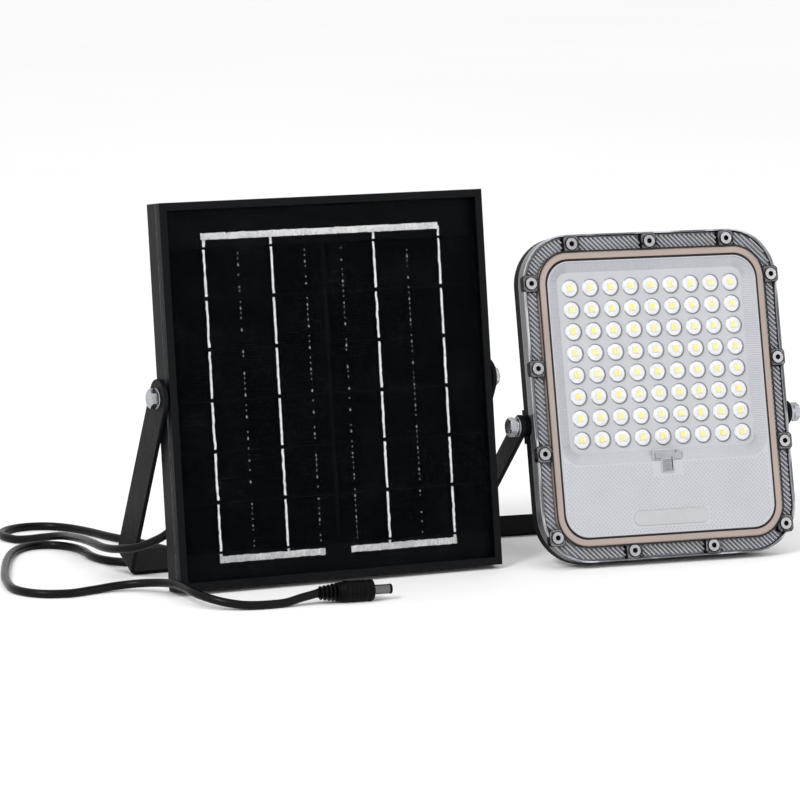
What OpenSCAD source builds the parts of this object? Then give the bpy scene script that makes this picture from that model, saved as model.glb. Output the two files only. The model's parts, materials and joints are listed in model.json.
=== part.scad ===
/* [Solar panel] */
// Width of the panel over its frame
panel_w = 205; // [180:1:260]
// Height of the panel over its frame
panel_h = 220; // [200:1:300]
// How far the panel leans back from upright, in degrees
panel_lean = 8.9; // [5:0.1:15]
// Rows of solar cells
cell_rows = 6; // [4:1:8]

/* [Lamp] */
// Width of the lamp's housing
lamp_w = 164; // [150:1:200]
// Height of the lamp's housing
lamp_h = 193.6; // [185:0.1:240]
// How far the lamp leans back from upright, in degrees
lamp_lean = 14.2; // [8:0.1:20]
// How far the lamp is turned in towards the panel, in degrees
lamp_yaw = 4.9; // [0:0.1:10]
// Lens columns
lens_columns = 9; // [5:1:9]
// Lens rows
lens_rows = 8; // [4:1:8]

/* [Brackets] */
// Angle of the panel bracket's legs from upright, in degrees
panel_leg_angle = 25; // [20:0.5:35]
// Angle of the lamp bracket's legs from upright, in degrees
lamp_leg_angle = 46; // [40:0.5:52]
// Width of the panel bracket's flat bar
panel_bar_w = 22; // [16:1:24]
// Width of the lamp bracket's flat bar
lamp_bar_w = 14; // [12:1:18]
// Thickness of both flat bars
bar_t = 2.5; // [2:0.5:3]

/* [Lead] */
// Diameter of the panel's lead
cord_d = 4.8; // [4:0.1:5.4]
// Diameter of the middle of the coil's turns
coil_mid_d = 54; // [50:1:60]

/* [Hidden] */
$fn = 64;
hull_fn = 32;
eps = 0.01;
// Gap between pieces that turn against each other
turn_gap = 0.05;

// The middle of the footprint, from the panel's middle at its front bottom edge
origin_x = 95;
origin_y = 32;

// Panel frame section
panel_d = 18;
wall = 1.6;
lip_w = 4.5;
lip_t = 1.4;
ledge_in = 6;
ledge_front = 5.8;
ledge_t = 1.4;
inner_wall_t = 1.2;
flange_w = 12;
flange_t = 1.4;
groove_at = 4.8;
groove_d = 0.4;
key_len = 18;
key_gap = 0.1;

// Panel laminate, by depth behind the front edge of the frame
glass_front = 1.5;
ribbon_front = 4.5;
cell_front = 4.7;
backsheet_front = 5.0;
backsheet_back = 5.7;
laminate_side = 1.8;
cell_w = 95;
cell_gap_w = 2.4;
cell_bottom = 20;
cell_pitch = 29;
cell_gap_h = 0.8;
bus_top = 200;
bus_bottom = 16;
bus_h = 3.8;
bus_side = 75.6;
bus_inner = 8.2;
ribbon_w = 1.7;
ribbon_at = [-74.7, -32.6, 32.6, 74.7];

// Panel pivot
panel_pivot_v = panel_h / 2;
panel_pivot_d = 11;
bolt_r = 3;
bolt_af = 10;
bolt_head_h = 4;
washer_r = 6;
panel_pivot_y = panel_pivot_v * sin(panel_lean) + panel_pivot_d * cos(panel_lean);
panel_pivot_z = panel_pivot_v * cos(panel_lean) + (panel_d - panel_pivot_d) * sin(panel_lean);
panel_leg_in = panel_w / 2 + 1;
panel_leg_len = (panel_pivot_z - panel_bar_w / 2 * sin(panel_leg_angle)) / cos(panel_leg_angle);

// Junction box on the back of the panel
box_v = 64;
box_w = 60;
box_h = 44;
box_d = 13;
box_wall = 2;
lid_t = 2.4;
gland_d = box_d / 2 + backsheet_back + 0.5;
gland_x = -box_w / 2;

// Lamp pivot and depths behind the front face
lamp_pivot_v = 82.8;
lamp_pivot_d = 14;
pivot_boss_r = 6.5;
lamp_mid_x = 203.3;
lamp_front_y = -27.7;
lamp_rise = 4.34;
cover_d = 6;
skirt_d = 11;
skirt_t = 0.8;
skirt_gap = 0.05;
rim_d = 17.7;
plate_front = 0.8;
tray_floor = 5.0;
plate_back = 6.0;
board_back = 8.0;
heat_back = 9.5;
back_wall = 15.2;
bulge_d = 34;
fin_d = 38;
lamp_leg_in = lamp_w / 2 + 3.6;
lamp_pivot_z = lamp_rise + lamp_pivot_v * cos(lamp_lean) - lamp_pivot_d * sin(lamp_lean);
lamp_pivot_back = lamp_pivot_v * sin(lamp_lean) + lamp_pivot_d * cos(lamp_lean);
lamp_pivot = [
  lamp_mid_x + lamp_pivot_back * sin(lamp_yaw),
  lamp_front_y + lamp_pivot_back * cos(lamp_yaw),
  lamp_pivot_z
];
lamp_leg_len = (lamp_pivot_z - lamp_bar_w / 2 * sin(lamp_leg_angle)) / cos(lamp_leg_angle);

// Lamp front layout
rim_r = 29;
window_w = 146;
window_low = 9.4;
window_high = 183;
window_r = 19;
gasket_w = 4;
plate_w = 137;
plate_low = 13.9;
plate_high = 178.4;
plate_r = 15;
tray_w = 134;
tray_low = 57;
tray_high = 177.5;
lens_pitch_x = 13.05;
lens_pitch_v = 12.86;
lens_low = 72;
lens_r = 5.15;
lens_front = 1.6;
lens_hole_r = 3.2;
screw_spots = [
  [-50.3, 188], [0, 188], [50.3, 188],
  [-78, 165.5], [-78, 115.3], [-78, 65], [78, 165.5], [78, 115.3], [78, 65],
  [-74.2, 15.6], [74.2, 15.6], [-25.7, 5.4], [25.7, 5.4]
];
screw_r = 2;
screw_head_r = 3.5;
indicator_v = 24;
sensor_v = 61;

// Coil, plug and lead
cord_r = cord_d / 2;
coil_at = [15, 140];
turns_wide = 3;
turns_high = 4;
coil_w = turns_wide * cord_d;
coil_h = turns_high * cord_d;
cord_sides = 10;
ring_step = 18;
plug_at = [-40, -47.2, 6.15];
plug_turn = -6;
relief_len = 12;
plug_len = 21;
plug_r = 6.15;
sleeve_len = 11;
sleeve_hidden = 6;

// Route of the lead, from the panel's gland down behind the left leg
lead_route = [
  [-46, 22.4, 64.1], [-58, 23, 62.8], [-70, 26, 57.5], [-80, 29.5, 48], [-88, 33, 38], [-96, 37, 29],
  [-103, 42, 24], [-109, 48, 20.5]
];
// Over the floor behind the left leg and round to the coil
loops_route = [
  [-109, 48, 20.5], [-114, 55, 18.7], [-117.5, 64, 17.2], [-119, 76, 16.2], [-118, 92, 15.5],
  [-116, 110, 14], [-114, 127, 12], [-112.5, 143, 9.9], [-113.5, 156, 8], [-119, 168, 5.4],
  [-125.5, 176, 3.4], [-131, 183, 2.4], [-134, 193, 2.4], [-131.5, 204, 2.4], [-123, 213, 2.4],
  [-111, 217, 2.4], [-98, 214, 2.4], [-88, 204, 2.4], [-81, 188, 2.4], [-76, 170, 2.4],
  [-70, 154, 2.4], [-65, 140, 2.4], [-61, 122, 2.4], [-53, 109, 2.4], [-39.5, 103.5, 2.4],
  [-26, 107, 2.4], [-18, 117, 2.4], [-16.3, 130, 2.4], [-16.8, 140, 2.4]
];
// From the coil round the front of the panel to the plug
end_route = [
  [15, 108.2, 7.2], [3, 107.6, 6.2], [-9, 104.8, 4.2], [-20, 100, 2.7], [-33, 94.5, 2.4],
  [-50, 90, 2.4], [-70, 86.5, 2.4], [-85, 87.5, 2.4], [-97, 93, 2.4], [-106, 104.5, 2.4],
  [-108.5, 118, 2.4], [-107, 132, 2.4], [-108.5, 146, 2.4], [-116, 157, 2.4], [-129, 160.5, 2.4],
  [-142.5, 152, 2.4], [-156, 131, 2.4], [-170, 100, 2.4], [-180, 73, 2.4], [-185, 46.5, 2.4],
  [-177, 30, 2.4], [-161, 24, 2.4], [-145, 27.5, 2.4], [-130, 29, 3.2], [-118, 23, 4.8],
  [-110, 12, 6.6], [-106.5, 0, 7.8], [-105.5, -12, 7.8], [-105, -23, 7.2], [-101, -33, 5.8],
  [-94, -41, 4.2], [-84, -46, 2.8], [-72, -48, 2.4], [-60, -48, 2.6], [-50, -47.3, 4.4],
  [-40, -47.2, 6.15]
];

// --- Placing -------------------------------------------------------------

// World place, with the middle of the footprint at the origin
module in_world() {
  translate([-origin_x, -origin_y, 0]) children();
}

// Panel's own axes: x across, y behind the front edge, z up from the bottom edge
module in_panel() {
  in_world() translate([0, panel_pivot_y, panel_pivot_z]) rotate([-panel_lean, 0, 0])
    translate([0, -panel_pivot_d, -panel_pivot_v]) children();
}

// Panel bracket's own axes: origin on the pivot, z up along the legs
module in_panel_bracket() {
  in_world() translate([0, panel_pivot_y, panel_pivot_z]) rotate([panel_leg_angle, 0, 0]) children();
}

// Lamp's own axes: x across, y behind the front face, z up from the bottom edge
module in_lamp() {
  in_world() translate(lamp_pivot) rotate([0, 0, -lamp_yaw]) rotate([-lamp_lean, 0, 0])
    translate([0, -lamp_pivot_d, -lamp_pivot_v]) children();
}

// Lamp bracket's own axes: origin on the pivot, z up along the legs
module in_lamp_bracket() {
  in_world() translate(lamp_pivot) rotate([0, 0, -lamp_yaw]) rotate([lamp_leg_angle, 0, 0]) children();
}

// --- Shared shapes -------------------------------------------------------

// Rectangle with round corners, in x and z, between two heights
module rounded(w, low, high, r) {
  translate([-w / 2, low + r]) square([w, high - low - 2 * r]);
  translate([-w / 2 + r, low]) square([w - 2 * r, high - low]);
  for (x = [-w / 2 + r, w / 2 - r], z = [low + r, high - r])
    translate([x, z]) circle(r);
}

// The same as a slab between two depths
module slab(w, low, high, r, front, back) {
  translate([0, back, 0]) rotate([90, 0, 0]) linear_extrude(back - front) rounded(w, low, high, r);
}

// Block given by its lowest and highest corners
module block(a, b) {
  translate(a) cube(b - a);
}

// Round post along the depth
module post(x, z, r, front, back) {
  translate([x, back, z]) rotate([90, 0, 0]) cylinder(r = r, h = back - front);
}

// Round bar along x
module bar(x0, x1, r) {
  translate([x0, 0, 0]) rotate([0, 90, 0]) cylinder(r = r, h = x1 - x0);
}

// Hexagonal bar along x, by its width across flats
module hex_bar(x0, x1, af) {
  translate([x0, 0, 0]) rotate([0, 90, 0]) cylinder(r = af / 2 / cos(30), h = x1 - x0, $fn = 6);
}

// A piece and its mirror image on the other side
module both_sides() {
  children();
  mirror([1, 0, 0]) children();
}

// Flat bar bent into a U: legs up to the pivot, strip across the bottom
module bent_bar(leg_in, leg_len, width, spread, big_r, small_r) {
  bend = bar_t + 2;
  leg_out = leg_in + bar_t;
  difference() {
    union() {
      block([-leg_out + bend, -width / 2, -leg_len], [leg_out - bend, width / 2, -leg_len + bar_t]);
      both_sides() {
        block([leg_in, -width / 2, -leg_len + bend], [leg_out, width / 2, 0]);
        bar(leg_in, leg_out, width / 2);
        translate([leg_out - bend, width / 2, -leg_len + bend]) rotate([90, 0, 0]) intersection() {
          difference() {
            cylinder(r = bend, h = width);
            translate([0, 0, -1]) cylinder(r = bend - bar_t, h = width + 2);
          }
          translate([0, -bend, 0]) cube([bend, bend, width]);
        }
      }
    }
    both_sides() bar(leg_in - 1, leg_out + 1, bolt_r + turn_gap);
    translate([0, 0, -leg_len - 1]) cylinder(r = big_r, h = bar_t + 2);
    for (x = [-spread, spread])
      translate([x, 0, -leg_len - 1]) cylinder(r = small_r, h = bar_t + 2);
  }
}

// --- Panel ---------------------------------------------------------------

// Frame section: x inwards from the outer face, y behind the front edge
module frame_section() {
  difference() {
    union() {
      square([wall, panel_d]);
      square([lip_w, lip_t]);
      translate([0, ledge_front]) square([ledge_in + inner_wall_t, ledge_t]);
      translate([ledge_in, ledge_front]) square([inner_wall_t, panel_d - ledge_front]);
      translate([0, panel_d - flange_t]) square([flange_w, flange_t]);
    }
    translate([-eps, groove_at]) square([groove_d + eps, 0.8]);
  }
}

// One mitred length of frame, along z, with its outer face at x = 0
module frame_length(length) {
  intersection() {
    linear_extrude(length) frame_section();
    translate([0, panel_d + 1, 0]) rotate([90, 0, 0]) linear_extrude(panel_d + 2)
      polygon([[-1, -1], [flange_w + 1, flange_w + 1], [flange_w + 1, length - flange_w - 1],
        [-1, length + 1]]);
  }
}

module frame_side() {
  difference() {
    translate([-panel_w / 2, 0, 0]) frame_length(panel_h);
    translate([0, panel_pivot_d, panel_pivot_v]) bar(-panel_w / 2 - 1, -panel_w / 2 + 9, bolt_r + 0.2);
  }
}

module frame_left() {
  color([0.045, 0.047, 0.05]) in_panel() frame_side();
}

module frame_right() {
  color([0.045, 0.047, 0.05]) in_panel() mirror([1, 0, 0]) frame_side();
}

module frame_bottom() {
  color([0.045, 0.047, 0.05]) in_panel() translate([panel_w / 2, 0, 0])
    rotate([0, -90, 0]) frame_length(panel_w);
}

module frame_top() {
  color([0.045, 0.047, 0.05]) in_panel() translate([-panel_w / 2, 0, panel_h])
    rotate([0, 90, 0]) frame_length(panel_w);
}

module corner_keys() {
  inner = wall + key_gap;
  outer = ledge_in - key_gap;
  front = ledge_front + ledge_t + key_gap;
  back = panel_d - flange_t - key_gap;
  color([0.6, 0.6, 0.62]) in_panel() both_sides() for (top = [0, 1])
    translate([0, 0, top * panel_h]) mirror([0, 0, top]) {
      block([-panel_w / 2 + inner, front, inner], [-panel_w / 2 + outer, back, inner + key_len]);
      block([-panel_w / 2 + inner, front, inner], [-panel_w / 2 + inner + key_len, back, outer]);
    }
}

module laminate(front, back) {
  side = panel_w / 2 - laminate_side;
  block([-side, front, laminate_side], [side, back, panel_h - laminate_side]);
}

module solar_glass() {
  color([0.05, 0.06, 0.08, 0.35]) in_panel() laminate(glass_front, ribbon_front);
}

module backsheet() {
  color([0.08, 0.08, 0.09]) in_panel() laminate(backsheet_front, backsheet_back - 0.05);
}

module solar_cells() {
  side = cell_gap_w / 2;
  color([0.02, 0.022, 0.03]) in_panel() both_sides() for (row = [0 : cell_rows - 1])
    translate([0, 0, cell_bottom + row * cell_pitch])
      block([side, cell_front, 0], [side + cell_w, backsheet_front, cell_pitch - cell_gap_h]);
}

module cell_ribbons() {
  cells_top = cell_bottom + cell_rows * cell_pitch - cell_gap_h;
  half = ribbon_w / 2;
  low = bus_bottom - bus_h / 2;
  color([0.82, 0.82, 0.84]) in_panel() {
    block([-bus_side, ribbon_front, bus_top - bus_h / 2], [bus_side, cell_front, bus_top + bus_h / 2]);
    both_sides()
      block([bus_inner, ribbon_front, low], [bus_side, cell_front, low + bus_h]);
    for (x = ribbon_at) {
      block([x - half, ribbon_front, bus_bottom], [x + half, cell_front, cell_bottom + eps]);
      block([x - half, ribbon_front, cells_top - eps], [x + half, cell_front, bus_top]);
      for (row = [0 : cell_rows - 1])
        translate([x, 0, cell_bottom + row * cell_pitch])
          block([-half, ribbon_front, 0], [half, cell_front, cell_pitch - cell_gap_h]);
    }
  }
}

module junction_box() {
  low = box_v - box_h / 2;
  back = backsheet_back + box_d;
  color([0.03, 0.03, 0.032]) in_panel() difference() {
    slab(box_w, low, low + box_h, 4, backsheet_back, back);
    slab(box_w - 2 * box_wall, low + box_wall, low + box_h - box_wall, 2.5,
      backsheet_back + box_wall, back + 1);
    translate([0, gland_d, box_v]) bar(gland_x - 1, gland_x + box_wall + 1, 4.05);
  }
}

module junction_lid() {
  low = box_v - box_h / 2;
  front = backsheet_back + box_d;
  color([0.03, 0.03, 0.032]) in_panel() {
    slab(box_w, low, low + box_h, 4, front, front + lid_t);
    slab(box_w - 14, low + 7, low + box_h - 7, 2, front + lid_t - eps, front + lid_t + 0.6);
  }
}

module junction_terminals() {
  front = backsheet_back + box_wall;
  color([0.85, 0.85, 0.83]) in_panel() for (x = [-8, 8])
    difference() {
      block([x - 5, front, box_v - 6], [x + 5, front + 7, box_v + 8]);
      post(x, box_v + 1, 1.6, front + 4, front + 8);
    }
}

module blocking_diode() {
  front = backsheet_back + box_wall;
  color([0.1, 0.1, 0.1]) in_panel() translate([0, front + 3, box_v + 13]) {
    bar(-4, 4, 2.4);
    bar(-12, 12, 0.5);
    for (x = [-12, 12])
      translate([x, -3, 0]) rotate([-90, 0, 0]) cylinder(r = 0.5, h = 3);
  }
}

module panel_gland() {
  color([0.03, 0.03, 0.03]) in_panel() translate([0, gland_d, box_v]) {
    difference() {
      union() {
        bar(gland_x - 9, gland_x + box_wall + 5, 4);
        hex_bar(gland_x - 4, gland_x - eps, 12);
      }
      bar(gland_x - 10, gland_x + box_wall + 6, cord_r + 0.1);
    }
  }
}

module panel_gland_nut() {
  color([0.03, 0.03, 0.03]) in_panel() translate([0, gland_d, box_v]) difference() {
    union() {
      hex_bar(gland_x - 11, gland_x - 4.1, 11.5);
      bar(gland_x - 16, gland_x - 11 + eps, 4.6);
    }
    bar(gland_x - 9.1, gland_x - 4, 4.05);
    bar(gland_x - 17, gland_x - 9, cord_r + 0.1);
  }
}

module at_panel_pivot() {
  in_panel() both_sides() translate([0, panel_pivot_d, panel_pivot_v]) children();
}

module panel_pivot_bolts() {
  head = panel_leg_in + bar_t + 1.1;
  color([0.75, 0.76, 0.78]) at_panel_pivot() {
    hex_bar(head, head + bolt_head_h, bolt_af);
    bar(head - 20, head + eps, bolt_r);
  }
}

module ring(x0, x1, outer_r, inner_r) {
  difference() {
    bar(x0, x1, outer_r);
    bar(x0 - 1, x1 + 1, inner_r);
  }
}

module panel_washers() {
  out = panel_leg_in + bar_t;
  color([0.8, 0.8, 0.82]) at_panel_pivot() ring(out + turn_gap, out + 1.05, washer_r, bolt_r + 0.1);
}

module panel_spacers() {
  color([0.12, 0.12, 0.12]) at_panel_pivot()
    ring(panel_w / 2 + 0.02, panel_leg_in - turn_gap, 7, bolt_r + 0.1);
}

module panel_nuts() {
  inner = panel_w / 2 - ledge_in - inner_wall_t;
  color([0.7, 0.71, 0.73]) at_panel_pivot() difference() {
    hex_bar(inner - 5.2, inner - 0.05, bolt_af);
    bar(inner - 6, inner + 1, bolt_r + 0.02);
  }
}

module panel_bracket() {
  color([0.04, 0.042, 0.045]) in_panel_bracket()
    bent_bar(panel_leg_in, panel_leg_len, panel_bar_w, 40, 4.2, 3.25);
}

// --- Lead ----------------------------------------------------------------

// Point between b and c on a smooth curve through a, b, c and d
function curve(a, b, c, d, t) =
  0.5 * (2 * b + (c - a) * t + (2 * a - 5 * b + 4 * c - d) * t * t
    + (3 * b - a - 3 * c + d) * t * t * t);

// A route with one more point before its start and after its end
function open_ends(p) = concat([2 * p[0] - p[1]], p, [2 * p[len(p) - 1] - p[len(p) - 2]]);

// A point kept at least the lead's radius above the floor
function on_floor(p) = [p.x, p.y, max(p.z, cord_r)];

// Smooth route through hand-set points, with a ring at least every few diameters
function smooth(p) =
  let (q = open_ends(p))
    concat([for (i = [1 : len(q) - 3])
      let (steps = ceil(norm(q[i + 1] - q[i]) / ring_step))
        for (k = [0 : steps - 1]) on_floor(curve(q[i - 1], q[i], q[i + 1], q[i + 2], k / steps))],
      [p[len(p) - 1]]);

function unit(v) = v / norm(v);

// Direction of a route at each of its points
function heading(p, i) = unit(p[min(i + 1, len(p) - 1)] - p[max(i - 1, 0)]);

// Side direction of the section, kept level with the floor
function level(v) = unit(cross(v, [0, 0, 1]));

// Tube swept along a route, with its first and last section square to the given ends
module tube(route, first, last) {
  p = smooth(route);
  n = len(p);
  way = [for (i = [0 : n - 1]) i == 0 ? unit(first) : i == n - 1 ? unit(last) : heading(p, i)];
  points = [for (i = [0 : n - 1], k = [0 : cord_sides - 1])
    let (side = level(way[i]), up = cross(side, way[i]), a = 360 * (k + 0.5) / cord_sides)
      p[i] + cord_r * (side * cos(a) + up * sin(a))];
  walls = [for (i = [0 : n - 2], k = [0 : cord_sides - 1])
    let (j = (k + 1) % cord_sides)
      [i * cord_sides + k, i * cord_sides + j, (i + 1) * cord_sides + j, (i + 1) * cord_sides + k]];
  start = [for (k = [cord_sides - 1 : -1 : 0]) k];
  finish = [for (k = [0 : cord_sides - 1]) (n - 1) * cord_sides + k];
  polyhedron(points = points, faces = concat([start], walls, [finish]), convexity = 6);
}

module cord_lead() {
  color([0.03, 0.03, 0.03]) in_world() tube(lead_route, [-1, 0, 0], [-6, 7, -3]);
}

module cord_loops() {
  color([0.03, 0.03, 0.03]) in_world() tube(loops_route, [-6, 7, -3], [0, 1, 0]);
}

module cord_end() {
  turn = [cos(plug_turn), sin(plug_turn), 0];
  color([0.03, 0.03, 0.03]) in_world() tube(end_route, [-1, 0, 0], turn);
}

module cord_coil() {
  color([0.03, 0.03, 0.03]) in_world() translate([coil_at.x, coil_at.y, 0]) rotate_extrude()
    translate([coil_mid_d / 2 - coil_w / 2, 0]) square([coil_w, coil_h]);
}

module cord_tie() {
  x = coil_at.x + coil_mid_d / 2;
  gap = 0.2;
  band = 0.8;
  outer = coil_w / 2 + gap + band;
  color([0.08, 0.08, 0.08]) in_world() translate([x, coil_at.y, 0]) difference() {
    block([-outer, -2, 0], [outer, 2, coil_h + gap + band]);
    block([-outer + band, -3, band], [outer - band, 3, coil_h + gap]);
  }
}

// Plug's own axis along x, from the lead's end
module in_plug() {
  in_world() translate(plug_at) rotate([0, 0, plug_turn]) rotate([0, 90, 0]) children();
}

module plug_relief() {
  ring_count = 5;
  pitch = relief_len / ring_count;
  color([0.025, 0.025, 0.025]) in_plug() rotate_extrude() {
    square([cord_r + 0.35, relief_len]);
    for (k = [0 : ring_count - 1])
      translate([0, k * pitch + pitch * 0.5]) square([3.6 + 0.25 * k, pitch * 0.5]);
  }
}

module plug_body() {
  color([0.025, 0.025, 0.025]) in_plug() translate([0, 0, relief_len]) difference() {
    rotate_extrude() polygon([[0, 0], [plug_r - 1.4, 0], [plug_r - 0.4, 1], [plug_r - 0.4, 3.4],
      [plug_r, 4], [plug_r, plug_len - 0.8], [plug_r - 0.8, plug_len], [0, plug_len]]);
    translate([0, 0, plug_len - sleeve_hidden]) cylinder(r = 2.6, h = 7);
  }
}

module plug_sleeve() {
  color([0.78, 0.78, 0.76]) in_plug() translate([0, 0, relief_len + plug_len]) difference() {
    union() {
      translate([0, 0, eps - sleeve_hidden]) cylinder(r = 2.58, h = sleeve_hidden);
      translate([0, 0, eps]) cylinder(r = 2.75, h = sleeve_len);
    }
    translate([0, 0, 1 - sleeve_hidden]) cylinder(r = 2.3, h = 6 + sleeve_len);
  }
}

module plug_insulator() {
  color([0.05, 0.05, 0.05]) in_plug() translate([0, 0, relief_len + plug_len - 5 + 2 * eps]) difference() {
    cylinder(r = 2.27, h = 4.6 + sleeve_len);
    translate([0, 0, 1]) cylinder(r = 1.5, h = 5 + sleeve_len);
  }
}

module plug_contact() {
  color([0.8, 0.78, 0.6]) in_plug() translate([0, 0, relief_len + plug_len - 4 + 3 * eps]) difference() {
    cylinder(r = 1.47, h = 3 + sleeve_len);
    translate([0, 0, 1]) cylinder(r = 1.05, h = 5 + sleeve_len);
  }
}

// --- Lamp ----------------------------------------------------------------

module lamp_bracket() {
  color([0.04, 0.042, 0.045]) in_lamp_bracket()
    bent_bar(lamp_leg_in, lamp_leg_len, lamp_bar_w, 35, 4.2, 3.25);
}

module lamp_housing() {
  fins = 11;
  fin_pitch = 11;
  step_in = skirt_t + skirt_gap;
  color([0.035, 0.036, 0.04]) in_lamp() difference() {
    union() {
      slab(lamp_w, 0, lamp_h, rim_r, skirt_d + skirt_gap, rim_d);
      slab(lamp_w - 2 * step_in, step_in, lamp_h - step_in, rim_r - step_in, cover_d, skirt_d + 1);
      slab(126, 24, 170, 16, rim_d - eps, bulge_d);
      for (k = [0 : fins - 1])
        translate([(k - (fins - 1) / 2) * fin_pitch, 0, 0])
          block([-0.9, bulge_d - eps, 40], [0.9, fin_d, 164]);
      both_sides() {
        block([60, skirt_d + skirt_gap, lamp_pivot_v - 10], [lamp_w / 2, 20.5, lamp_pivot_v + 10]);
        translate([0, lamp_pivot_d, lamp_pivot_v])
          bar(lamp_w / 2 - 2 * step_in, lamp_w / 2 + 3.5, pivot_boss_r);
      }
    }
    slab(132, 17, 175, 12, cover_d - 1, back_wall);
    slab(120, 27, 167, 13, back_wall - eps, bulge_d - 3);
    both_sides() translate([0, lamp_pivot_d, lamp_pivot_v]) {
      bar(60, lamp_w / 2 + 4, bolt_r + 0.1);
      bar(lamp_w / 2 - 9, lamp_w / 2 + 2.5, 4.25);
    }
    for (s = screw_spots)
      post(s.x, s.y, 2.85, cover_d - 1, cover_d + 8.5);
    translate([0, 26, 20]) cylinder(r = 4.1, h = 10);
  }
}

module cover_frame() {
  color([0.35, 0.35, 0.37, 0.4]) in_lamp() difference() {
    slab(lamp_w, 0, lamp_h, rim_r, 0, skirt_d);
    slab(lamp_w - 2 * skirt_t, skirt_t, lamp_h - skirt_t, rim_r - skirt_t, cover_d, skirt_d + 1);
    slab(window_w, window_low, window_high, window_r, -1, cover_d + 1);
    both_sides() translate([0, lamp_pivot_d, lamp_pivot_v])
      bar(lamp_w / 2 - 3, lamp_w / 2 + 1, pivot_boss_r + skirt_gap);
    for (s = screw_spots) {
      post(s.x, s.y, screw_r + 0.25, -1, cover_d + 1);
      post(s.x, s.y, screw_head_r + 0.4, -1, 3.6);
    }
  }
}

module cover_gasket() {
  side = window_w - 0.2;
  color([0.62, 0.52, 0.45]) in_lamp() difference() {
    slab(side, window_low + 0.1, window_high - 0.1, window_r - 0.1, 0.6, cover_d);
    slab(side - 2 * gasket_w, window_low + gasket_w, window_high - gasket_w, window_r - gasket_w,
      -1, cover_d + 1);
  }
}

// The lens spots of the tray
module at_lenses() {
  for (i = [0 : lens_columns - 1], j = [0 : lens_rows - 1])
    translate([(i - (lens_columns - 1) / 2) * lens_pitch_x, 0, lens_low + j * lens_pitch_v]) children();
}

// Pocket for the receiver's window: a bar over a short stem
module sensor_shape(front, bar_back, stem_back) {
  block([-9, front, sensor_v - 3], [9, bar_back, sensor_v + 3]);
  block([-4, front, sensor_v - 11], [4, stem_back, sensor_v - 3 + eps]);
}

module lens_plate() {
  color([0.9, 0.9, 0.9]) in_lamp() difference() {
    slab(plate_w, plate_low, plate_high, plate_r, plate_front, plate_back);
    hull() {
      slab(tray_w, tray_low, tray_high, 12, plate_front - 0.01, plate_front, $fn = hull_fn);
      slab(tray_w - 14, tray_low + 7.5, tray_high - 6, 6, tray_floor - 0.01, tray_floor, $fn = hull_fn);
    }
    at_lenses() post(0, 0, lens_hole_r, tray_floor - 1, plate_back + 1);
    slab(122, 18, 49, 6, 2.8, plate_back + 1);
    block([-6, 2.8, 48.9], [6, plate_back + 1, 60]);
    sensor_shape(plate_front - 1, tray_floor, 2.81);
    slab(49, indicator_v - 4.5, indicator_v + 4.5, 4.45, plate_front - 1, 3);
  }
}

module led_lenses() {
  top = [[0, lens_front], [1.8, lens_front + 0.25], [3.4, lens_front + 0.95], [4.6, lens_front + 2]];
  profile = concat([for (p = top) [p.x, tray_floor - p.y]],
    [[lens_r, 0.4], [lens_r, 0.02], [lens_hole_r - 0.3, 0.02], [lens_hole_r - 0.6, 0.9], [0, 1.3]]);
  color([0.92, 0.93, 0.95, 0.5]) in_lamp() at_lenses()
    translate([0, tray_floor, 0]) rotate([90, 0, 0]) rotate_extrude() polygon(profile);
}

module led_chips() {
  color([0.93, 0.8, 0.2]) in_lamp() at_lenses()
    block([-1.5, 5.1, -1.5], [1.5, plate_back + 0.1, 1.5]);
}

module led_board() {
  color([0.92, 0.92, 0.9]) in_lamp() slab(124, 62, 172.5, 4, plate_back + 0.1, board_back);
}

module heat_plate() {
  color([0.72, 0.73, 0.75]) in_lamp() slab(128, 56, 173.5, 11, board_back, heat_back);
}

module sensor_window() {
  color([0.85, 0.85, 0.86, 0.6]) in_lamp() sensor_shape(0.3, tray_floor - 0.02, 2.79);
}

module infrared_receiver() {
  color([0.12, 0.12, 0.14]) in_lamp() {
    block([-2.8, 4, sensor_v - 9.5], [2.8, 5.9, sensor_v - 3.1]);
    translate([0, 4.3, sensor_v - 6]) sphere(r = 1.4);
  }
}

module indicator_window() {
  color([0.88, 0.88, 0.9, 0.6]) in_lamp()
    slab(48.8, indicator_v - 4.4, indicator_v + 4.4, 4.35, plate_front - 0.2, 2.8);
}

module indicator_board() {
  color([0.1, 0.3, 0.15]) in_lamp() {
    slab(56, indicator_v - 5.5, indicator_v + 5.5, 1, 4.6, 5.9);
    for (x = [-18, -6, 6, 18])
      block([x - 1.6, 3.6, indicator_v - 0.8], [x + 1.6, 4.6 + eps, indicator_v + 0.8]);
  }
}

module battery_cells() {
  color([0.1, 0.25, 0.55]) in_lamp() for (k = [0 : 3])
    translate([0, 21, 45 + 19 * k]) {
      bar(-32.5, 32, 9.1);
      bar(32 - eps, 33, 4);
    }
}

module battery_holder() {
  color([0.05, 0.05, 0.05]) in_lamp() difference() {
    block([-37, 13, 34], [37, bulge_d - 3.05, 113]);
    block([-34, 12, 35.5], [34, bulge_d - 3.8, 111.5]);
    block([-30, 12, 33], [30, 20, 114]);
  }
}

module control_board() {
  color([0.08, 0.3, 0.14]) in_lamp() difference() {
    slab(84, 119, 161, 2, 15.6, 17.2);
    for (x = [-37, 37], z = [124, 156])
      post(x, z, 1.7, 15, 18);
  }
}

module board_parts() {
  color([0.15, 0.15, 0.16]) in_lamp() {
    block([-12, 17.25, 134], [0, 19.2, 146]);
    block([6, 17.25, 130], [18, 24, 142]);
    for (x = [-30, -22])
      post(x, 148, 3.4, 17.25, 26);
    for (x = [-28, -14, 0, 14])
      block([x - 5, 17.25, 121], [x + 5, 25, 129]);
  }
}

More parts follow.
